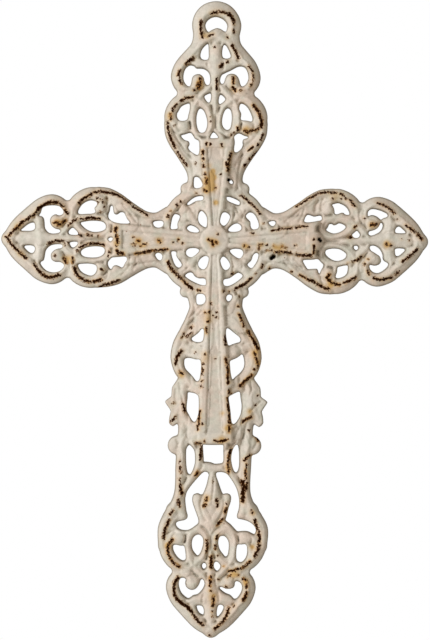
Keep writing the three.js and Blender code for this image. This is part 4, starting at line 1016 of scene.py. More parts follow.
def nearest(px, pz, dx, dz):
    """For places seen from a span's start: the nearest share of the span, and the way from there."""
    along = np.clip((px * dx + pz * dz) / max(dx * dx + dz * dz, 1e-9), 0, 1)
    return along, px - along * dx, pz - along * dz


def swept(points, widths, reach):
    """Around a path: cells covered, distance inside the swept width, side, width and share of the way."""
    cells, gx, gz = around(points.min(0) - reach, points.max(0) + reach)
    best = np.full(gx.shape, -FAR)
    aside = np.zeros(gx.shape)
    width = np.ones(gx.shape)
    share = np.zeros(gx.shape)
    count = len(points) - 1
    for index in range(count):
        a, b = points[index], points[index + 1]
        low, high = np.minimum(a, b) - reach, np.maximum(a, b) + reach
        part = (slice(*np.searchsorted(gz[:, 0], [low[1], high[1]])),
                slice(*np.searchsorted(gx[0], [low[0], high[0]])))
        dx, dz = b - a
        along, px, pz = nearest(gx[part] - a[0], gz[part] - a[1], dx, dz)
        away = np.hypot(px, pz)
        here = widths[index] + (widths[index + 1] - widths[index]) * along
        better = here - away > best[part]
        best[part] = np.where(better, here - away, best[part])
        aside[part] = np.where(better, np.copysign(away, dx * pz - dz * px), aside[part])
        width[part] = np.where(better, here, width[part])
        share[part] = np.where(better, (index + along) / count, share[part])
    return cells, best, aside, width, share


def polygon(corners):
    """Around a polygon: cells covered, and how far inside its outline each of them is."""
    cells, gx, gz = around(corners.min(0) - MARGIN, corners.max(0) + MARGIN)
    away = np.full(gx.shape, FAR)
    within = np.zeros(gx.shape, bool)
    for a, b in zip(corners, np.roll(corners, -1, 0)):
        px, pz = gx - a[0], gz - a[1]
        dx, dz = b - a
        away = np.minimum(away, np.hypot(*nearest(px, pz, dx, dz)[1:]))
        if dz:
            crosses = (a[1] > gz) != (b[1] > gz)
            within ^= crosses & (px < dx * pz / dz)
    return cells, np.where(within, away, -away)


def off_crest(aside, crest, width):
    """How far places lie from a bar's crest, as a share of the way to the edge on that side."""
    return np.where(aside > crest, (aside - crest) / (width - crest), (crest - aside) / (width + crest))


def crowned(across, ridged):
    """Section of a bar, 1 at its crest and 0 at its edges: rounded, or ridged by that share."""
    across = np.clip(across, 0, 1)
    roof = 1 - (np.hypot(across, RIDGE_SOFT) - RIDGE_SOFT) / (math.hypot(1, RIDGE_SOFT) - RIDGE_SOFT)
    return ridged * roof + (1 - ridged) * (1 - across ** 2) ** ROUND_POWER


def risen(depth, wall, top, section):
    """Heights of a form from its wall to its top by its section, falling away past its edge."""
    return np.where(depth > 0, wall + (top - wall) * section, wall + EDGE_FALL * depth)


def add_bar(one, place, mirrored):
    """Adds a bar, with its path put in place and its crest line along it."""
    points = curve([place(*point) for point in one["path"]])
    half = spread(one["half"], len(points))
    longer = one["run"] - END_RUN
    for end, before in ((0, 1), (-1, -2)):
        onward = points[end] - points[before]
        points[end] += onward / np.linalg.norm(onward) * half[end] * longer
    cells, best, aside, width, share = swept(points, half, half.max() + BAR_MARGIN)
    top = np.interp(share, np.linspace(0, 1, len(one["top"])), one["top"])
    crest = (-one["crest"] if mirrored else one["crest"]) * width
    ridged = RIDGED_SIDE if one["crest"] else RIDGED_MIDDLE
    join(cells, best, risen(best, one["wall"], top, crowned(off_crest(aside, crest, width), ridged)))
    if one["lined"]:
        lines.append((cells, best, share, top, one["lined"]))


def add_plate(outline, place, top):
    """Adds a level plate with a straight-sided outline."""
    cells, depth = polygon(np.array([place(*point) for point in outline]))
    join(cells, depth, risen(depth, top, top, 0))


def add_knob(middle, radius, top, lined=0.0):
    """Adds a low round knob with a domed top, lined round its edge to a depth."""
    middle = np.array(middle)
    cells, gx, gz = around(middle - radius - MARGIN, middle + radius + MARGIN)
    depth = radius - np.hypot(gx - middle[0], gz - middle[1])
    dome = np.sqrt(np.clip(1 - (1 - depth / radius) ** 2, 0, 1))
    join(cells, depth, risen(depth, WALL, top, dome))
    if lined:
        lines.append((cells, depth, np.full(depth.shape, 0.5), np.full(depth.shape, top), lined))


def on_shaft(aside, up):
    """A place beside the middle line of the lower shaft."""
    levels, places = zip(*SHAFT_LEAN)
    return float(np.interp(up, levels, places)) + aside, up


def fuller(out, aside, amount):
    """Sideways distance where a lobe is cast fuller or leaner than the pattern."""
    return aside * (1 + amount * math.exp(-((out - LOBE_AT) / LOBE_SPREAD) ** 2))


def lifted(out):
    """How far the stems of the side arms lie above the middle."""
    return STEM_LIFT * min(max((out - STEM_LIFT_FROM) / STEM_LIFT_RUN, 0), 1)


def add_openwork():
    """All the openwork: terminals, leaves, wheel, lower shaft and loop."""
    for side in (1, -1):
        swell = {arm: both[side < 0] for arm, both in LOBE_SWELL.items()}

        def top(out, aside):
            return side * fuller(out, aside, swell["top"]), out

        def left(out, aside):
            return -out, side * fuller(out, aside, swell["left"])

        def right(out, aside):
            return out, side * fuller(out, aside, swell["right"])

        def shaft(aside, up):
            aside = fuller(-up - BOTTOM_SHIFT, aside, swell["bottom"])
            if side > 0:
                aside *= 1 + SHAFT_LEAF_SWELL * math.exp(-((up + SHAFT_LEAF_AT) / SHAFT_LEAF_SPREAD) ** 2)
            return on_shaft(side * aside, up)

        def bottom(out, aside):
            return shaft(aside, -out - BOTTOM_SHIFT)

        for place, mirrored in ((top, side > 0), (left, side > 0), (right, side < 0)):
            add_plate(LEAF_PLATE, place, PLATE)
            for one in TERMINAL + LOBE_LEAF:
                add_bar(one, place, mirrored)
        for one in TERMINAL:
            add_bar(one, bottom, side < 0)
        add_plate(SHAFT_PLATE, shaft, PLATE)
        if side > 0:
            add_plate(SHAFT_WEB, shaft, SHAFT_WEB_TOP)
        for one in SHAFT:
            add_bar(one, shaft, side < 0)
        for place in (top, left, right, bottom):
            add_plate(TERMINAL_PLATE, place, PLATE)
            add_knob(place(*BALL[0]), BALL[1], BAND, LINE_DEEP)
            add_knob(place(*BULB[0]), BULB[1], BAND, LINE_DEEP)
        add_knob(shaft(*SHAFT_KNOB[0]), SHAFT_KNOB[1], STRAND)
        add_knob(shaft(*SHAFT_BALL[0]), SHAFT_BALL[1], SHAFT_BALL_TOP, FAINT_LINE)
        for tall in (1, -1):
            add_bar(FOIL, lambda x, y: (side * x, tall * y), side * tall < 0)
            add_bar(FOIL, lambda x, y: (side * y, tall * x), side * tall > 0)
            add_bar(WHEEL_LEAF, lambda x, y: (side * x, tall * y), side * tall < 0)
            add_knob((side * CORNER_KNOB[0][0], tall * CORNER_KNOB[0][1]), CORNER_KNOB[1], WEB)
    add_bar(STEM, lambda out, aside: (aside, out), False)
    add_bar(STEM, lambda out, aside: (-out, aside + lifted(out)), False)
    add_bar(STEM, lambda out, aside: (out, aside + lifted(out)), False)
    add_bar(STEM, lambda out, aside: on_shaft(aside, -out - BOTTOM_SHIFT), False)
    for one in SHAFT_MIDDLE:
        add_bar(one, on_shaft, False)
    add_bar(LOOP, lambda x, y: (x, y), False)


def add_ring():
    """Adds the wheel's ring, broader on the diagonals, with its crest towards the hub."""
    cells, gx, gz = around((-RING_REACH, -RING_REACH), (RING_REACH, RING_REACH))
    swell = RING_SWELL * np.cos(4 * np.arctan2(gz, gx))
    width = RING_HALF - swell
    aside = RING_RADIUS - swell - np.hypot(gx, gz)
    depth = width - np.abs(aside)
    crest = RING_CREST * width
    wall = np.where(aside > crest, WALL, RING_WALL)
    join(cells, depth, risen(depth, wall, RIM, crowned(off_crest(aside, crest, width), RIDGED_SIDE)))


def add_cross():
    """Adds the raised cross with its sunk panels and the round boss, and tells where it carries a skirt."""
    raised = np.zeros(inside.shape, bool)
    for (dx, dz), reach, end_half, drift, (panel_root, panel_flare) in ARMS:
        out = plan_x * dx + plan_z * dz
        share = np.clip(out / reach, 0, 1)
        aside = np.abs(plan_x - drift * share) if dz else np.abs(plan_z)
        half = ARM_ROOT_HALF + (end_half - ARM_ROOT_HALF) * share ** ARM_FLARE
        depth = -soft_most(aside - half, out - reach, ARM_CORNER)
        depth = np.where(out > ARM_START, depth, -FAR)
        panel = panel_root + panel_flare * out
        sunk = np.minimum(panel - aside, reach - PANEL_END_RIM - out)
        height = np.interp(depth, *CROSS_EDGE) + np.interp(sunk, *PANEL_EDGE)
        raised |= (depth > 0) & (out < reach - SKIRT_SHORT)
        near = depth > -MARGIN
        join(near, depth[near], height[near], CROSS_JOIN)
    away = np.hypot(plan_x, plan_z)
    near = away < BOSS_REACH
    boss = np.interp(away, *BOSS)
    join(near, (HUB_RADIUS - away)[near], boss[near], CROSS_JOIN)
    groove = np.interp(away, *BOSS_GROOVE)
    relief[near] = np.where(away < BOSS_EDGE, boss, np.minimum(relief, groove))[near]
    return raised


def part_way(field, j, i, fv, fu):
    """A map read part of the way between its cells."""
    lower = field[j, i] * (1 - fu) + field[j, i + 1] * fu
    upper = field[j + 1, i] * (1 - fu) + field[j + 1, i + 1] * fu
    return lower * (1 - fv) + upper * fv


def read(field, x, z):
    """A plan map read at any places."""
    u, v = (x - X[0]) / STEP, (z - Z[0]) / STEP
    i = np.clip(u.astype(int), 0, len(X) - 2)
    j = np.clip(v.astype(int), 0, len(Z) - 2)
    return part_way(field, j, i, v - j, u - i)


def uneven(rows):
    """Smooth random unevenness added up from rows of amount, width of the bumps and seed."""
    total = 0
    for amount, period, seed in rows:
        shape = (int(UNEVEN_TALL / period) + 3, int(UNEVEN_WIDE / period) + 3)
        values = np.random.default_rng(seed).uniform(-1, 1, shape)
        u, v = (X - X[0]) / period, (Z - Z[0]) / period
        i, j = u.astype(int), v.astype(int)
        fu, fv = u - i, v - j
        fu, fv = fu * fu * (3 - 2 * fu), fv * fv * (3 - 2 * fv)
        total = total + amount * part_way(values, j[:, None], i, fv[:, None], fu)
    return total


def filled(field, radius):
    """A depth map with its inner corners filled, as far as a disc of that radius can't reach into them."""
    limit = radius + 1
    reach = int(limit / STEP)
    rows, columns = field.shape
    to_disc = np.clip(field + radius, 0, None).astype(np.float32)
    best = to_disc.copy()
    for i in range(-reach, reach + 1):
        for j in range(-reach, reach + 1):
            away = STEP * math.hypot(i, j)
            if away <= limit:
                here = (slice(max(i, 0), rows + min(i, 0)), slice(max(j, 0), columns + min(j, 0)))
                there = (slice(max(-i, 0), rows + min(-i, 0)), slice(max(-j, 0), columns + min(-j, 0)))
                np.minimum(best[here], to_disc[there] + np.float32(away), out=best[here])
    return np.maximum(field, best - radius)


def open_air(void):
    """Places without metal that are reached from the plan's border."""
    reached = np.zeros(void.shape, bool)
    reached[[0, -1]] = True
    reached[:, [0, -1]] = True
    count = 0
    while reached.sum() > count:
        count = reached.sum()
        for field, free in ((reached, void), (reached.T, void.T)):
            for line in range(1, len(field)):
                field[line] |= field[line - 1] & free[line]
            for line in range(len(field) - 2, -1, -1):
                field[line] |= field[line + 1] & free[line]
    return reached


def swollen(field, bend, reach):
    """A map raised to what its surroundings hold, less the square of the way to them times the bend."""
    for axis in (0, 1):
        source = field
        field = source.copy()
        for step in range(1, int(reach / STEP) + 1):
            drop = bend * (step * STEP) ** 2
            later = (slice(step, None), slice(None))
            sooner = (slice(None, -step), slice(None))
            if axis == 1:
                later, sooner = later[::-1], sooner[::-1]
            np.maximum(field[later], source[sooner] - drop, out=field[later])
            np.maximum(field[sooner], source[later] - drop, out=field[sooner])
    return field


def away_from(marked, limit):
    """How far every place is from the nearest marked one, up to a limit."""
    return np.sqrt(-swollen(np.where(marked, 0.0, -limit * limit), 1.0, limit))


def blurred(field, reach):
    """A map averaged over a square of that reach, three times."""
    cells = int(round(reach / STEP))
    size = 2 * cells + 1
    for axis in (0, 1, 0, 1, 0, 1):
        pad = [(0, 0), (0, 0)]
        pad[axis] = (cells + 1, cells)
        total = np.cumsum(np.pad(field, pad, mode="edge"), axis)
        if axis == 0:
            field = (total[size:] - total[:-size]) / size
        else:
            field = (total[:, size:] - total[:, :-size]) / size
    return field


add_openwork()
add_ring()
raised = add_cross()

# Corners of the outline, filled inside and rounded outside
inside = filled(inside, CORNER_FILL)
inside = -filled(-inside, CORNER_WEAR)

# All that the open air doesn't reach is metal, with the bars broadened into it, before the openings are cut
void = inside <= 0
air = open_air(void)
to_air = away_from(air, GAP_REACH)
to_gap = away_from(void & ~air, GAP_REACH)
inside = np.where(to_gap < to_air, np.maximum(inside, to_air), inside)
broad = swollen(relief, BAR_BEND, BAR_BROAD)
relief += (np.maximum(relief, broad) - relief) * np.clip(GAP_FILL - to_gap, 0, 1)
for path in OPENINGS:
    cells, depth = polygon(closed_curve(path))
    inside[cells] = np.minimum(inside[cells], -depth)
relief = np.maximum(relief, np.clip(GROUND_EDGE + GROUND_RISE * inside, None, PLATE))
relief = np.maximum(relief, np.interp(away_from(raised, SKIRT_AWAY[-1]), SKIRT_AWAY, SKIRT))

# Lines between strands, flutes and pits
for cells, best, share, top, deep in lines:
    clear = np.clip((inside[cells] - LINE_CLEAR) / LINE_CLEAR, 0, 1)
    clear = clear * np.clip((top + LINE_UNDER - relief[cells]) / LINE_UNDER_RUN, 0, 1)
    clear *= np.clip(np.minimum(share, 1 - share) / LINE_FADE, 0, 1)
    relief[cells] -= deep * clear * np.exp(-(best / LINE_HALF) ** 2)
for half, deep, path in GROOVES:
    points = curve(path)
    cells, best, *_ = swept(points, np.full(len(points), half), 3 * half)
    relief[cells] -= deep * np.exp(-((best - half) / half) ** 2)
pit_shade_share = np.zeros(inside.shape)
for middle, radius in PITS:
    away = np.hypot(plan_x - middle[0], plan_z - middle[1]) / radius
    relief = np.minimum(relief, np.where(away < PIT_REACH, PIT_FLOOR + PIT_RISE * away ** 3, FAR))
    # Painted shade inside each pit
    pit_shade_share = np.maximum(pit_shade_share, np.clip((PIT_DARK_REACH - away) / PIT_DARK_RUN, 0, 1))

# Finished front: rounded edges and the casting's slight unevenness
inside += uneven(OUTLINE_UNEVEN)
from_hub = np.hypot(plan_x, plan_z)
edge = np.clip(np.maximum(inside, BOSS_STEEP * (BOSS_ROUND - from_hub)) / EDGE_ROUND, 0, 1)
front = relief - EDGE_ROUND * (1 - np.sqrt(1 - (1 - edge) ** 2))
front += uneven(FRONT_UNEVEN)
front = np.clip(front, LOWEST, HIGHEST)

# Dirt and painted shade in hollows: how far a place is below the mean of its surroundings, and painted shade
# beside the short arms and in the pits
solid = (inside > 0).astype(float)
shares = np.maximum(blurred(solid, HOLLOW_REACH), LEAST_SOLID)
soil_and_shade = np.full(inside.shape, -FAR)
# Dirt and painted shade where a place lies below its surroundings
for level in (np.minimum(front, OPENWORK_TOP), np.maximum(front, OPENWORK_TOP)):
    mean = blurred(level * solid, HOLLOW_REACH) / shares
    soil_and_shade = np.maximum(soil_and_shade, np.clip(mean - level, None, HOLLOW_MOST))
# Painted shade beside the raised short arms, at the foot of their step
to_raised = away_from(raised, ARM_SHADE_REACH)
beside_arm = (to_raised > 0) & (plan_z > ARM_SHADE_LOW) & (from_hub > RING_RADIUS)
soil_and_shade += np.where(beside_arm, ARM_SHADE * np.exp(-(to_raised / ARM_SHADE_WIDE) ** 2), 0)
# Painted shade in the pits
soil_and_shade += PIT_SHADE * pit_shade_share

# Wear, its rusty halo and yellow stains
worn = np.full(inside.shape, UNWORN)
rust = np.zeros(inside.shape)
for half, halo, path in WORN:
    points = np.array(path if len(path) > 1 else path + path, float)
    cells, best, *_ = swept(points, np.full(len(points), half), half + WORN_REACH)
    worn[cells] = np.maximum(worn[cells], best)
    rust[cells] = np.maximum(rust[cells], halo * np.exp(np.minimum(best, 0) / HALO_REACH))
stain = np.zeros(inside.shape)
for middle, radius, strength in STAINS:
    reach = STAIN_REACH * radius
    cells, gx, gz = around(np.array(middle) - reach, np.array(middle) + reach)
    gx, gz = gx - middle[0], gz - middle[1]
    stain[cells] += STAIN_POWER * strength * np.exp(-(gx * gx + gz * gz) / (radius * radius))


def plan_triangles():
    """Triangles over the plan, cut along the outline: places, and corners anticlockwise from the front."""
    xs = np.arange(X[PLAN_BORDER], X[-PLAN_BORDER], CELL)
    zs = np.arange(Z[PLAN_BORDER], Z[-PLAN_BORDER], CELL)
    x, z = (grid.ravel().copy() for grid in np.meshgrid(xs, zs))
    depth = read(inside, x, z)
    slope_z, slope_x = np.gradient(inside, STEP)
    gx, gz = read(slope_x, x, z), read(slope_z, x, z)
    steep = np.maximum(gx * gx + gz * gz, LEAST_STEEP)
    near = np.abs(depth) < SNAP * CELL * np.sqrt(steep)
    x[near] -= (depth * gx / steep)[near]
    z[near] -= (depth * gz / steep)[near]
    depth[near] = 0
    columns = len(xs)
    a = (np.arange(len(zs) - 1)[:, None] * columns + np.arange(columns - 1)).ravel()
    b, c, d = a + 1, a + columns + 1, a + columns
    even = ((a // columns + a % columns) % 2 == 0)[:, None]
    first = np.where(even, np.stack([a, b, c], 1), np.stack([a, b, d], 1))
    second = np.where(even, np.stack([a, c, d], 1), np.stack([b, c, d], 1))
    corners = np.concatenate([first, second])
    sign = np.sign(depth)[corners]
    above, below = (sign > 0).sum(1), (sign < 0).sum(1)
    middle = read(inside, x[corners].mean(1), z[corners].mean(1)) > 0
    whole = corners[(below == 0) & ((above > 0) | middle)]

    def rolled(pick, wanted):
        """Chosen triangles, each turned so that its one corner of the wanted sign comes first."""
        chosen, signs = corners[pick], sign[pick]
        turn = np.argmax(signs == wanted, 1)
        order = (turn[:, None] + np.arange(3)) % 3
        return np.take_along_axis(chosen, order, 1), np.take_along_axis(signs, order, 1)

    one_above, _ = rolled((above == 1) & (below == 2), 1)
    one_below, _ = rolled((above == 2) & (below == 1), -1)
    mixed, mixed_sign = rolled((above == 1) & (below == 1), 0)
    crossed = np.concatenate([one_above[:, [0, 1]], one_above[:, [0, 2]], one_below[:, [0, 1]],
                              one_below[:, [0, 2]], mixed[:, [1, 2]]])
    crossed.sort(1)
    unique, which = np.unique(crossed, axis=0, return_inverse=True)
    which = which.ravel() + len(x)
    p, q = unique.T
    share = depth[p] / (depth[p] - depth[q])
    x = np.concatenate([x, x[p] + share * (x[q] - x[p])])
    z = np.concatenate([z, z[p] + share * (z[q] - z[p])])
    ends = np.cumsum([len(one_above), len(one_above), len(one_below), len(one_below)])
    up_b, up_c, low_b, low_c, across = np.split(which, ends)
    tips = np.stack([one_above[:, 0], up_b, up_c], 1)
    quads = np.concatenate([np.stack([low_b, one_below[:, 1], one_below[:, 2]], 1),
                            np.stack([low_b, one_below[:, 2], low_c], 1)])
    ahead = (mixed_sign[:, 1] > 0)[:, None]
    halves = np.where(ahead, np.stack([mixed[:, 0], mixed[:, 1], across], 1),
                      np.stack([mixed[:, 0], across, mixed[:, 2]], 1))
    triangles = np.concatenate([whole, tips, quads, halves])
    used, triangles = np.unique(triangles, return_inverse=True)
    return x[used], z[used], triangles.reshape(-1, 3)


def outline_edges(triangles, count):
    """Directed edges that only one triangle has."""
    directed = np.concatenate([triangles[:, [0, 1]], triangles[:, [1, 2]], triangles[:, [2, 0]]])
    forward = directed[:, 0] * count + directed[:, 1]
    backward = directed[:, 1] * count + directed[:, 0]
    return directed[~np.isin(forward, backward)]


def back_triangles(rim_places, rim_edges):
    """Coarse triangles of the flat back: inner places, and corners numbered from the rim's first place."""
    across, upward = np.arange(X[0], X[-1], BACK_CELL), np.arange(Z[0], Z[-1], BACK_CELL)
    gx, gz = (grid.ravel() for grid in np.meshgrid(across, upward))
    deep = read(inside, gx, gz) > BACK_INSET
    inner = np.stack([gx[deep], gz[deep]], 1)
    places = np.concatenate([rim_places, inner])
    faces = delaunay_2d_cdt([Vector(p) for p in places], rim_edges.tolist(), [], 1, 1e-6)[2]
    corners = np.array(faces)
    count = len(places)
    sides = np.stack([corners, np.roll(corners, -1, 1)], 2)
    key = sides[..., 0] * count + sides[..., 1]
    counter = sides[..., 1] * count + sides[..., 0]
    edge_key = rim_edges[:, 0] * count + rim_edges[:, 1]
    on_solid = np.isin(key, edge_key).any(1)
    on_hole = np.isin(counter, edge_key).any(1)
    middle = places[corners].mean(1)
    keep = on_solid | (~on_hole & (read(inside, middle[:, 0], middle[:, 1]) > 0))
    return inner, corners[keep]


def placed(name, data):
    """A new object in the scene."""
    thing = bpy.data.objects.new(name, data)
    bpy.context.scene.collection.objects.link(thing)
    return thing


def cast_piece():
    """The casting as one mesh: fine front, plain walls and a flat back, with its wear, rust, stains, dirt and
    painted shade as point attributes.
    """
    x, z, triangles = plan_triangles()
    count = len(x)
    edges = outline_edges(triangles, count)
    rim, ends = np.unique(edges, return_inverse=True)
    ends = ends.reshape(-1, 2)
    low = count + ends
    walls = np.concatenate([np.stack([edges[:, 1], edges[:, 0], low[:, 0]], 1),
                            np.stack([edges[:, 1], low[:, 0], low[:, 1]], 1)])
    inner, back = back_triangles(np.stack([x[rim], z[rim]], 1), ends)
    behind = len(rim) + len(inner)
    all_x = np.concatenate([x, x[rim], inner[:, 0]])
    all_z = np.concatenate([z, z[rim], inner[:, 1]])
    high = np.concatenate([read(front, x, z), np.zeros(behind)])
    faces = np.concatenate([triangles, walls, count + back[:, ::-1]]).astype(np.int32)
    points = np.stack([all_x, -high, all_z - LOOP_CROWN], 1) * MM
    mesh = bpy.data.meshes.new("cast_cross_painted")
    mesh.vertices.add(len(points))
    mesh.vertices.foreach_set("co", points.astype(np.float32).ravel())
    mesh.loops.add(faces.size)
    mesh.loops.foreach_set("vertex_index", faces.ravel())
    mesh.polygons.add(len(faces))
    mesh.polygons.foreach_set("loop_start", np.arange(0, faces.size, 3, dtype=np.int32))
    mesh.polygons.foreach_set("use_smooth", np.ones(len(faces), bool))
    mesh.update(calc_edges=True)
    mesh.validate()
    pairs = np.zeros(len(mesh.edges) * 2, np.int32)
    mesh.edges.foreach_get("vertices", pairs)
    pairs = pairs.reshape(-1, 2)
    back_rim = ((pairs >= count) & (pairs < count + len(rim))).all(1)
    mesh.edges.foreach_set("use_edge_sharp", back_rim)
    fields = {"worn": (worn, UNWORN), "rust": (rust, 0.0), "stain": (stain, 0.0), "soil_and_shade": (soil_and_shade, 0.0),
              "depth": (inside, 0.0)}
    for name, (field, at_back) in fields.items():
        values = np.concatenate([read(field, x, z), np.full(behind, at_back)])
        mesh.attributes.new(name, "FLOAT", "POINT").data.foreach_set("value", values.astype(np.float32))
    return placed("cast_cross_painted", mesh)


class Nodes:
    """Short ways to add and link shader nodes."""

    def __init__(self, tree):
        self.tree = tree
        tree.nodes.clear()

    def add(self, kind, inputs=None, **settings):
        """A node with its settings made and its inputs set or linked."""
        node = self.tree.nodes.new(kind)
        for name, value in settings.items():
            setattr(node, name, value)
        for name, value in (inputs or {}).items():
            if isinstance(value, bpy.types.NodeSocket):
                self.tree.links.new(value, node.inputs[name])
            else:
                node.inputs[name].default_value = value
        return node

    def field(self, name):
        """A point attribute of the mesh."""
        return self.add("ShaderNodeAttribute", attribute_name=name).outputs["Fac"]

    def noise(self, place, size, detail=2.0, rough=0.5, offset=0.0):
        """Noise with features of that size in metres, moved by an offset so that two don't agree."""
        moved = self.add("ShaderNodeVectorMath", {0: place, 1: (offset, offset, offset)}, operation="ADD")
        inputs = {"Vector": moved.outputs[0], "Scale": 1 / size, "Detail": detail, "Roughness": rough}
        return self.add("ShaderNodeTexNoise", inputs).outputs["Fac"]

    def math(self, operation, a, b=0.0, c=0.0):
        """A sum, product or other simple step."""
        return self.add("ShaderNodeMath", {0: a, 1: b, 2: c}, operation=operation).outputs[0]

    def stirred(self, value, noise, amount, middle=0.5):
        """A value moved up and down by noise about its middle."""
        return self.math("MULTIPLY_ADD", self.math("SUBTRACT", noise, middle), amount, value)

    def between(self, value, low, high, to_low=0.0, to_high=1.0):
        """A smooth step as the value goes from low to high."""
        inputs = {"Value": value, "From Min": low, "From Max": high, "To Min": to_low, "To Max": to_high}
        return self.add("ShaderNodeMapRange", inputs, interpolation_type="SMOOTHSTEP").outputs["Result"]

    def mix(self, share, a, b, blend="MIX"):
        """Two colours mixed by a share."""
        node = self.add("ShaderNodeMix", {0: share, 6: a, 7: b}, data_type="RGBA", blend_type=blend)
        return node.outputs[2]


def new_material(name):
    """A material with an empty tree, and the way to add nodes to it."""
    material = bpy.data.materials.new(name)
    material.use_nodes = True
    return material, Nodes(material.node_tree)


def painted_iron():
    """Old cream paint on cast iron: stained, dirty and painted with shade in the hollows, painted with shade
    along the outline and in the pits, rubbed to dark rust along the crests.
    """
    material, make = new_material("worn_cream_paint")
    place = make.add("ShaderNodeTexCoord").outputs["Object"]
    broad = make.noise(place, *BROAD_NOISE)
    patch = make.noise(place, *PATCH_NOISE)
    blot = make.noise(place, *BLOT_NOISE)
    fine = make.noise(place, *FINE_NOISE)
    grain = make.noise(place, *GRAIN_NOISE)

    # Paint in warm and grey patches
    tone = make.mix(make.between(broad, *WARM_STEP), PAINT_LIGHT, PAINT_WARM)
    tone = make.mix(make.between(patch, *GREY_STEP), tone, PAINT_GREY)
    lift = make.between(blot, *LIFT_STEP)
    lift = make.add("ShaderNodeCombineColor", {0: lift, 1: lift, 2: lift}).outputs[0]
    tone = make.mix(1.0, tone, lift, "MULTIPLY")

    # Dirt and painted shade in the hollows, painted shade along the outline and in the pits
    soil_and_shade_here = make.field("soil_and_shade")
    # Dirt and painted shade in the hollows
    tone = make.mix(make.between(make.stirred(soil_and_shade_here, patch, SOIL_AND_SHADE_STIR), *SOIL_AND_SHADE_STEP), tone, SOIL_AND_SHADE)
    # Painted shade along the outline and round the openings
    edge_shade = make.stirred(make.field("depth"), patch, EDGE_SHADE_STIR)
    tone = make.mix(make.between(edge_shade, *EDGE_SHADE_STEP), tone, SOIL_AND_SHADE)
    # Near black painted shade in the pits
    tone = make.mix(make.between(soil_and_shade_here, *PIT_SHADE_STEP), tone, PIT_SHADE_DARK)

    # Stains, seeping rust and bare iron
    wash = make.math("MULTIPLY", make.field("stain"), make.between(patch, *WASH_STEP))
    tone = make.mix(make.math("MINIMUM", wash, WASH_MOST), tone, OCHRE)
    seep = make.math("MULTIPLY", make.field("rust"), make.between(blot, *SEEP_STEP))
    tone = make.mix(make.math("MINIMUM", seep, SEEP_MOST), tone, OCHRE)
    tone = make.mix(make.between(seep, *ORANGE_STEP), tone, ORANGE)
    ragged = make.stirred(make.stirred(make.field("worn"), fine, *WORN_STIR), grain, GRAIN_STIR)
    tone = make.mix(make.between(ragged, *BROWN_STEP), tone, BROWN)
    bare = make.between(ragged, *BARE_STEP)
    iron = make.mix(make.between(grain, *IRON_STEP), IRON_DARK, IRON_RUST)
    tone = make.mix(bare, tone, iron)

    # Small brown specks, in some of the cells
    cells = make.add("ShaderNodeTexVoronoi", {"Vector": place, "Scale": SPECK_SCALE, "Randomness": 1.0})
    chance = make.add("ShaderNodeSeparateColor", {0: cells.outputs["Color"]}).outputs[0]
    speck = make.between(cells.outputs["Distance"], *SPECK_STEP)
    speck = make.math("MULTIPLY", speck, make.between(chance, *SPECK_CHANCE))
    tone = make.mix(make.math("MULTIPLY", speck, SPECK_MOST), tone, BROWN)

    # Roughness, bump and gloss
    rough = make.math("MULTIPLY_ADD", blot, *ROUGH_PAINT)
    rough = make.math("MULTIPLY_ADD", bare, ROUGH_BARE, rough)
    height = make.math("MULTIPLY_ADD", fine, BUMP_FINE, make.math("MULTIPLY", blot, BUMP_BLOT))
    height = make.math("MULTIPLY_ADD", grain, BUMP_GRAIN, height)
    height = make.math("MULTIPLY_ADD", bare, BUMP_BARE, height)
    bump = make.add("ShaderNodeBump", {"Height": height, "Strength": BUMP_STRENGTH, "Distance": BUMP_DEEP})
    surface = {"Base Color": tone, "Roughness": rough, "Normal": bump.outputs["Normal"],
               "Specular IOR Level": make.between(bare, *SHINE_STEP)}
    shader = make.add("ShaderNodeBsdfPrincipled", surface)
    make.add("ShaderNodeOutputMaterial", {"Surface": shader.outputs[0]})
    return material


def soft_light(name, place, size, power, colour):
    """A large soft studio light aimed at the cross."""
    light = bpy.data.lights.new(name, "AREA")
    light.shape = "DISK"
    light.size = size
    light.energy = power
    light.color = colour
    thing = placed(name, light)
    thing.location = place
    thing.rotation_euler = (Vector(MIDDLE) - Vector(place)).to_track_quat("-Z", "Y").to_euler()


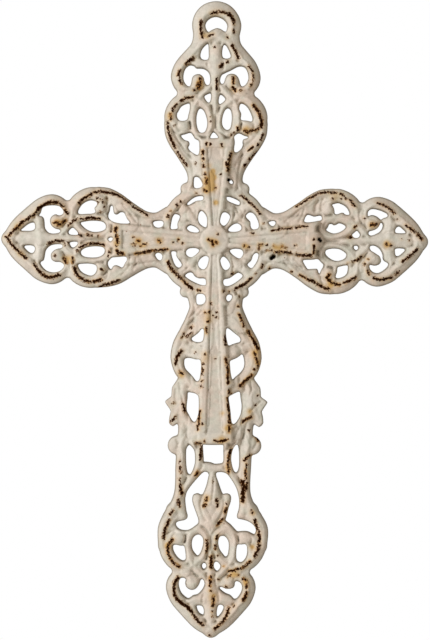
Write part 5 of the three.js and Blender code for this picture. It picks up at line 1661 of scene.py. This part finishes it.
def pale_floor():
    """A round pale floor some way under the hanging cross, with a slightly mottled surface."""
    turns = [2 * math.pi * k / FLOOR_SIDES for k in range(FLOOR_SIDES)]
    ring = [(FLOOR_RADIUS * math.cos(turn), FLOOR_RADIUS * math.sin(turn), FLOOR_LEVEL) for turn in turns]
    mesh = bpy.data.meshes.new("floor")
    mesh.from_pydata(ring, [], [list(range(FLOOR_SIDES))])
    floor = placed("floor", mesh)
    material, make = new_material("pale_floor")
    mottle = make.noise(make.add("ShaderNodeTexCoord").outputs["Object"], *FLOOR_NOISE)
    colour = make.mix(mottle, FLOOR_DARK, FLOOR_LIGHT)
    shader = make.add("ShaderNodeBsdfPrincipled", {"Base Color": colour, "Roughness": FLOOR_ROUGH})
    make.add("ShaderNodeOutputMaterial", {"Surface": shader.outputs[0]})
    mesh.materials.append(material)


def studio():
    """White surroundings that give a dimmer even light, a key light from the upper left and a weak fill."""
    scene = bpy.context.scene
    world = bpy.data.worlds.new("studio")
    world.use_nodes = True
    scene.world = world
    make = Nodes(world.node_tree)
    seen = make.add("ShaderNodeLightPath").outputs["Is Camera Ray"]
    level = make.between(seen, 0, 1, AMBIENT, 1.0)
    colour = make.mix(seen, AMBIENT_COLOUR, WHITE)
    glow = make.add("ShaderNodeBackground", {"Color": colour, "Strength": level})
    make.add("ShaderNodeOutputWorld", {"Surface": glow.outputs[0]})
    scene.view_settings.view_transform = "Standard"
    scene.view_settings.look = "None"
    soft_light("key", KEY_PLACE, KEY_SIZE, KEY_POWER, KEY_COLOUR)
    soft_light("fill", FILL_PLACE, FILL_SIZE, FILL_POWER, AMBIENT_COLOUR[:3])


def photo_camera():
    """A long lens straight in front, turned a little so that the cross leans as in the photograph."""
    camera = bpy.data.cameras.new("camera")
    camera.sensor_width = CAMERA_SENSOR
    camera.lens = CAMERA_SENSOR * (CAMERA_AWAY - FRAME_PLANE) / (FRAME_HEIGHT * MM)
    camera.clip_end = CAMERA_FAR
    thing = placed("camera", camera)
    thing.location = (MIDDLE[0], -CAMERA_AWAY, MIDDLE[2])
    thing.rotation_euler = (math.pi / 2, -math.radians(LEAN), 0)
    bpy.context.scene.camera = thing


piece = cast_piece()
piece.data.materials.append(painted_iron())
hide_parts("cast_cross")
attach(piece, "root")
pale_floor()
studio()
photo_camera()
